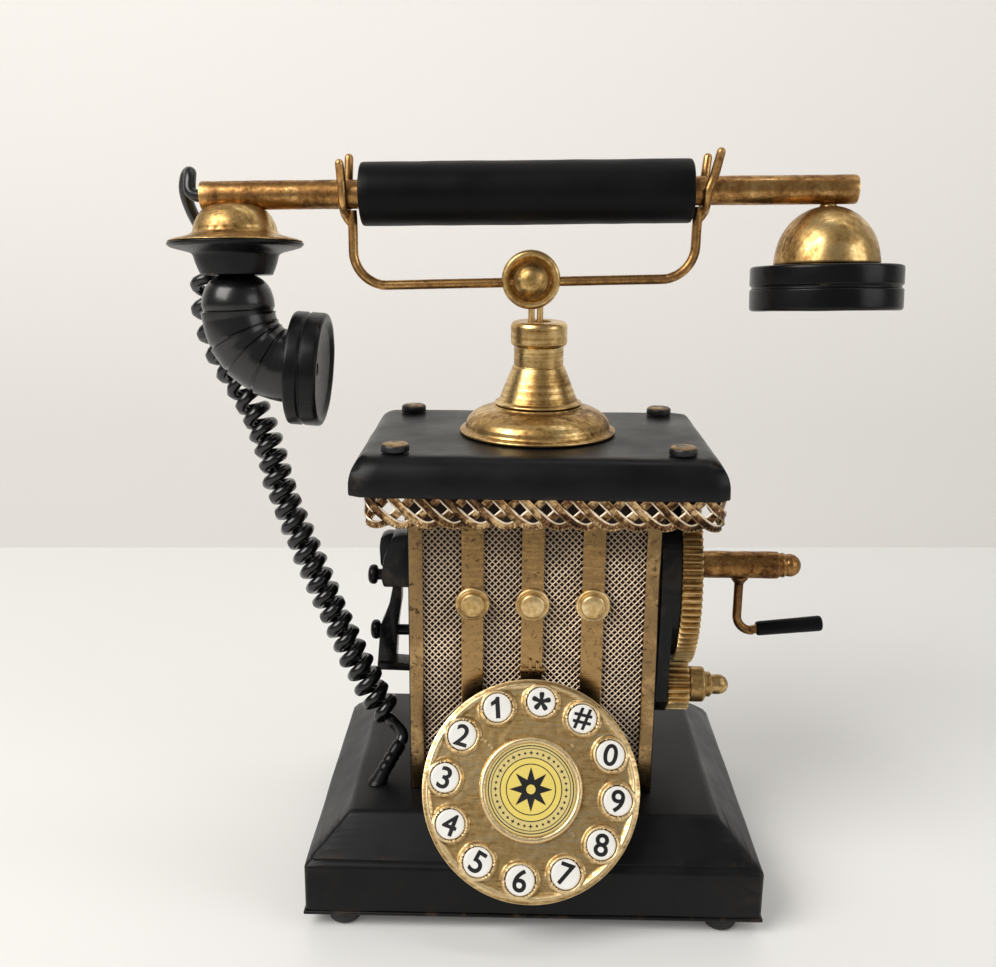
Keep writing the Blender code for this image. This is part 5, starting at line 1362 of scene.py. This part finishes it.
def build_medallion(finish):
    outer = 0.0168
    ring = turned([(0.0, 0.0003), (outer, 0.0003), (outer, 0.0010), (outer - 0.0004, 0.0016),
                   (outer - 0.0010, 0.0018), (outer - 0.0016, 0.0017), (outer - 0.0021, 0.0012),
                   (outer - 0.0023, 0.0008), (0.0, 0.0008)], 160, soft=0.0003)
    ring.piece("medallion_rim", finish["dial"], "root", place=DIAL, stands_for=("dial_medallion",),
               slot="dial_gold")
    face = turned(mm((0, 0.8), (14.5, 0.8), (14.5, 0.92), (0, 0.92)), 128, soft=0.0)
    face.piece("medallion_label", finish["label"], "root", place=DIAL, slot="dial_gold")
    inner = turned(mm((0, 0.92), (9.8, 0.92), (9.8, 0.98), (0, 0.98)), 128, soft=0.0)
    inner.piece("medallion_field", finish["label_pale"], "root", place=DIAL, slot="dial_gold")
    lines = Shape()
    for low, high in ((0.01365, 0.01395), (0.0128, 0.0130), (0.0098, 0.0101)):
        lines.add(flat_ring(low, high, 0.00094))
    beads = 36
    for k in range(beads):
        a = 2 * math.pi * k / beads
        dot = star_shape(4, 0.00055 if k % 3 else 0.00080, 0.00028, 0.00092)
        lines.add(dot.moved(Matrix.Rotation(a, 4, "Z") @ Matrix.Translation((0.0, 0.0115, 0.0))))
    lines.add(star_shape(8, 0.0070, 0.0032, 0.00098))
    lines.add(flat_ring(0.0078, 0.0081, 0.00098))
    lines.piece("medallion_print", finish["ink"], "root", place=DIAL, slot="dial_gold")
    centre = turned(mm((0, 1.06), (1.5, 1.06), (1.5, 1.12), (0, 1.12)), 48, soft=0.0)
    centre.piece("medallion_eye", finish["label_pale"], "root", place=DIAL, slot="dial_gold")


def letter_shape(text):
    """One figure of the plain built-in typeface, as a thin flat solid."""
    curve = bpy.data.curves.new("figure", "FONT")
    curve.body = text
    curve.size = FIGURE_SIZE
    curve.extrude = 0.00005
    holder = bpy.data.objects.new("figure", curve)
    bpy.context.scene.collection.objects.link(holder)
    bpy.context.view_layer.update()
    mesh = bpy.data.meshes.new_from_object(holder.evaluated_get(bpy.context.evaluated_depsgraph_get()))
    shape = Shape()
    shape.points = [v.co.copy() for v in mesh.vertices]
    shape.faces = [list(p.vertices) for p in mesh.polygons]
    bpy.data.objects.remove(holder)
    bpy.data.curves.remove(curve)
    bpy.data.meshes.remove(mesh)
    return shape


def slab(outline):
    """A thin flat solid on an outline given in millimetres."""
    return Shape().rings([[(x * MM, y * MM, z) for x, y in outline] for z in (-0.00005, 0.00005)])


def digit_shape(text, turn):
    """A key's figure, centred, thickened to a bold weight and turned clockwise by so many degrees."""
    if text == "*":
        shape = Shape()
        for k in range(5):
            arm = slab([(-0.42, 0.0), (-0.85, 2.5), (-0.55, 3.15), (0.55, 3.15), (0.85, 2.5), (0.42, 0.0)])
            shape.add(arm.moved(Matrix.Rotation(2 * math.pi * k / 5, 4, "Z")
                                @ Matrix.Translation((0.0, 0.0, COPY_LIFT * k))))
        return shape.moved(Matrix.Rotation(-math.radians(turn), 4, "Z"))
    if text == "1":
        shape = slab([(-0.65, -3.5), (0.80, -3.5), (0.80, 3.5), (-0.30, 3.5), (-0.70, 2.7), (-2.1, 1.8),
                      (-2.1, 0.5), (-0.65, 1.2)])
        return shape.moved(Matrix.Rotation(-math.radians(turn), 4, "Z"))
    thin, shape = letter_shape(text), Shape()
    xs, ys = [p.x for p in thin.points], [p.y for p in thin.points]
    middle_point = Vector(((min(xs) + max(xs)) / 2, (min(ys) + max(ys)) / 2, 0.0))
    copies = 8
    for k in range(copies):
        a = 2 * math.pi * k / copies
        shift = Vector((BOLDER * math.cos(a), BOLDER * math.sin(a), COPY_LIFT * k))
        copy = Shape()
        copy.points = [p - middle_point + shift for p in thin.points]
        copy.faces = thin.faces
        shape.add(copy)
    return shape.moved(Matrix.Rotation(-math.radians(turn), 4, "Z"))


def build_dial(finish):
    dial_face().piece("dial_face", finish["dial"], "root", place=DIAL, stands_for=("dial_plate",),
                      slot="dial_gold", sharp=55.0)
    build_medallion(finish)
    for index, (name, figure, turn) in enumerate(KEYS):
        angle = FIRST_KEY_ANGLE + 2 * math.pi * index / len(KEYS)
        at = Matrix.Translation((KEY_CIRCLE * math.sin(angle), KEY_CIRCLE * math.cos(angle), 0.0))
        key = turned(mm(
            (0, -2.1), (5, -2.1), (5, -1.5), (4.7, -1.3), (4.7, 0.4), (4.4, 0.72), (3.8, 0.82),
            (0, 0.85)), 72, soft=0.0002)
        key.piece(f"key_cap_{name}", finish["key"], f"key_{name}", place=DIAL @ at,
                  stands_for=(f"key_{name}",), slot="key_white")
        mark = digit_shape(figure, turn).moved(Matrix.Translation((0.0, 0.0, 0.00084)))
        mark.piece(f"key_figure_{name}", finish["ink"], f"key_{name}", place=DIAL @ at, slot="key_white")


# ---------------- stage and kept frame solids
def stage_finish(name, cloud_scale, dark, light, rough, glow, glow_strength):
    """A plain surface, faintly clouded, that glows a little as if lit from all round."""
    s = Shading(name)
    cloud = s.noise(cloud_scale, 3.0, 0.5)
    s.join(s.mix(cloud, dark, light), s.shader.inputs["Base Color"])
    s.set(Roughness=rough, Emission_Color=(*glow, 1.0), Emission_Strength=glow_strength)
    return s.material


def build_stage():
    """A table whose far edge stands before a wall, over a lower floor."""
    table_look = stage_finish("studio_floor", 1.6, (0.69, 0.685, 0.672), (0.75, 0.745, 0.73), 0.42,
                              (0.78, 0.765, 0.74), 0.10)
    wall_look = stage_finish("studio_wall", 1.2, (0.76, 0.735, 0.70), (0.82, 0.80, 0.77), 0.9,
                             (0.80, 0.775, 0.745), 0.22)
    turn = Matrix.Translation((0.0, TABLE_BACK, 0.0)) @ Matrix.Rotation(WALL_TURN, 4, "Z")
    reach, deep, drop, gap = 3.0, 0.02, 0.30, WALL_Y - TABLE_BACK
    wall_top, floor_front = 2.2, -0.5

    def panel(x0, x1, y0, y1, z0, z1):
        return Shape().rings([[(x, y, z) for x, y in ((x0, y0), (x1, y0), (x1, y1), (x0, y1))]
                              for z in (z0, z1)])

    table = panel(-reach, reach, -reach, 0.0, -deep, 0.0)
    wall = panel(-reach, reach, gap, gap + deep, -drop, wall_top)
    low_floor = panel(-reach, reach, floor_front, gap, -drop - deep, -drop)
    table.piece("table_top", table_look, None, place=turn)
    wall.piece("wall", wall_look, None, place=turn)
    low_floor.piece("lower_floor", table_look, None, place=turn)


def repaint(node, material):
    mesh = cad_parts[node].data
    mesh.materials.clear()
    mesh.materials.append(material)


add_camera()
finish = make_finishes()
build_cord(finish)
build_stage()
add_lights()
build_base(finish)
build_body(finish)
build_trim(finish)
build_cover(finish)
build_pedestal(finish)
build_cradle(finish)
build_handset(finish)
build_crank(finish)
build_bracket(finish)
build_dial(finish)
KEPT_SOLIDS = {"housing_shell": "black_side", "gear_plate": "black_side", "dial_back": "black_side",
               "crank_bearing": "brass", "magneto": "iron", "hook_spring": "steel"}
for node, kind in KEPT_SOLIDS.items():
    repaint(node, finish[kind])
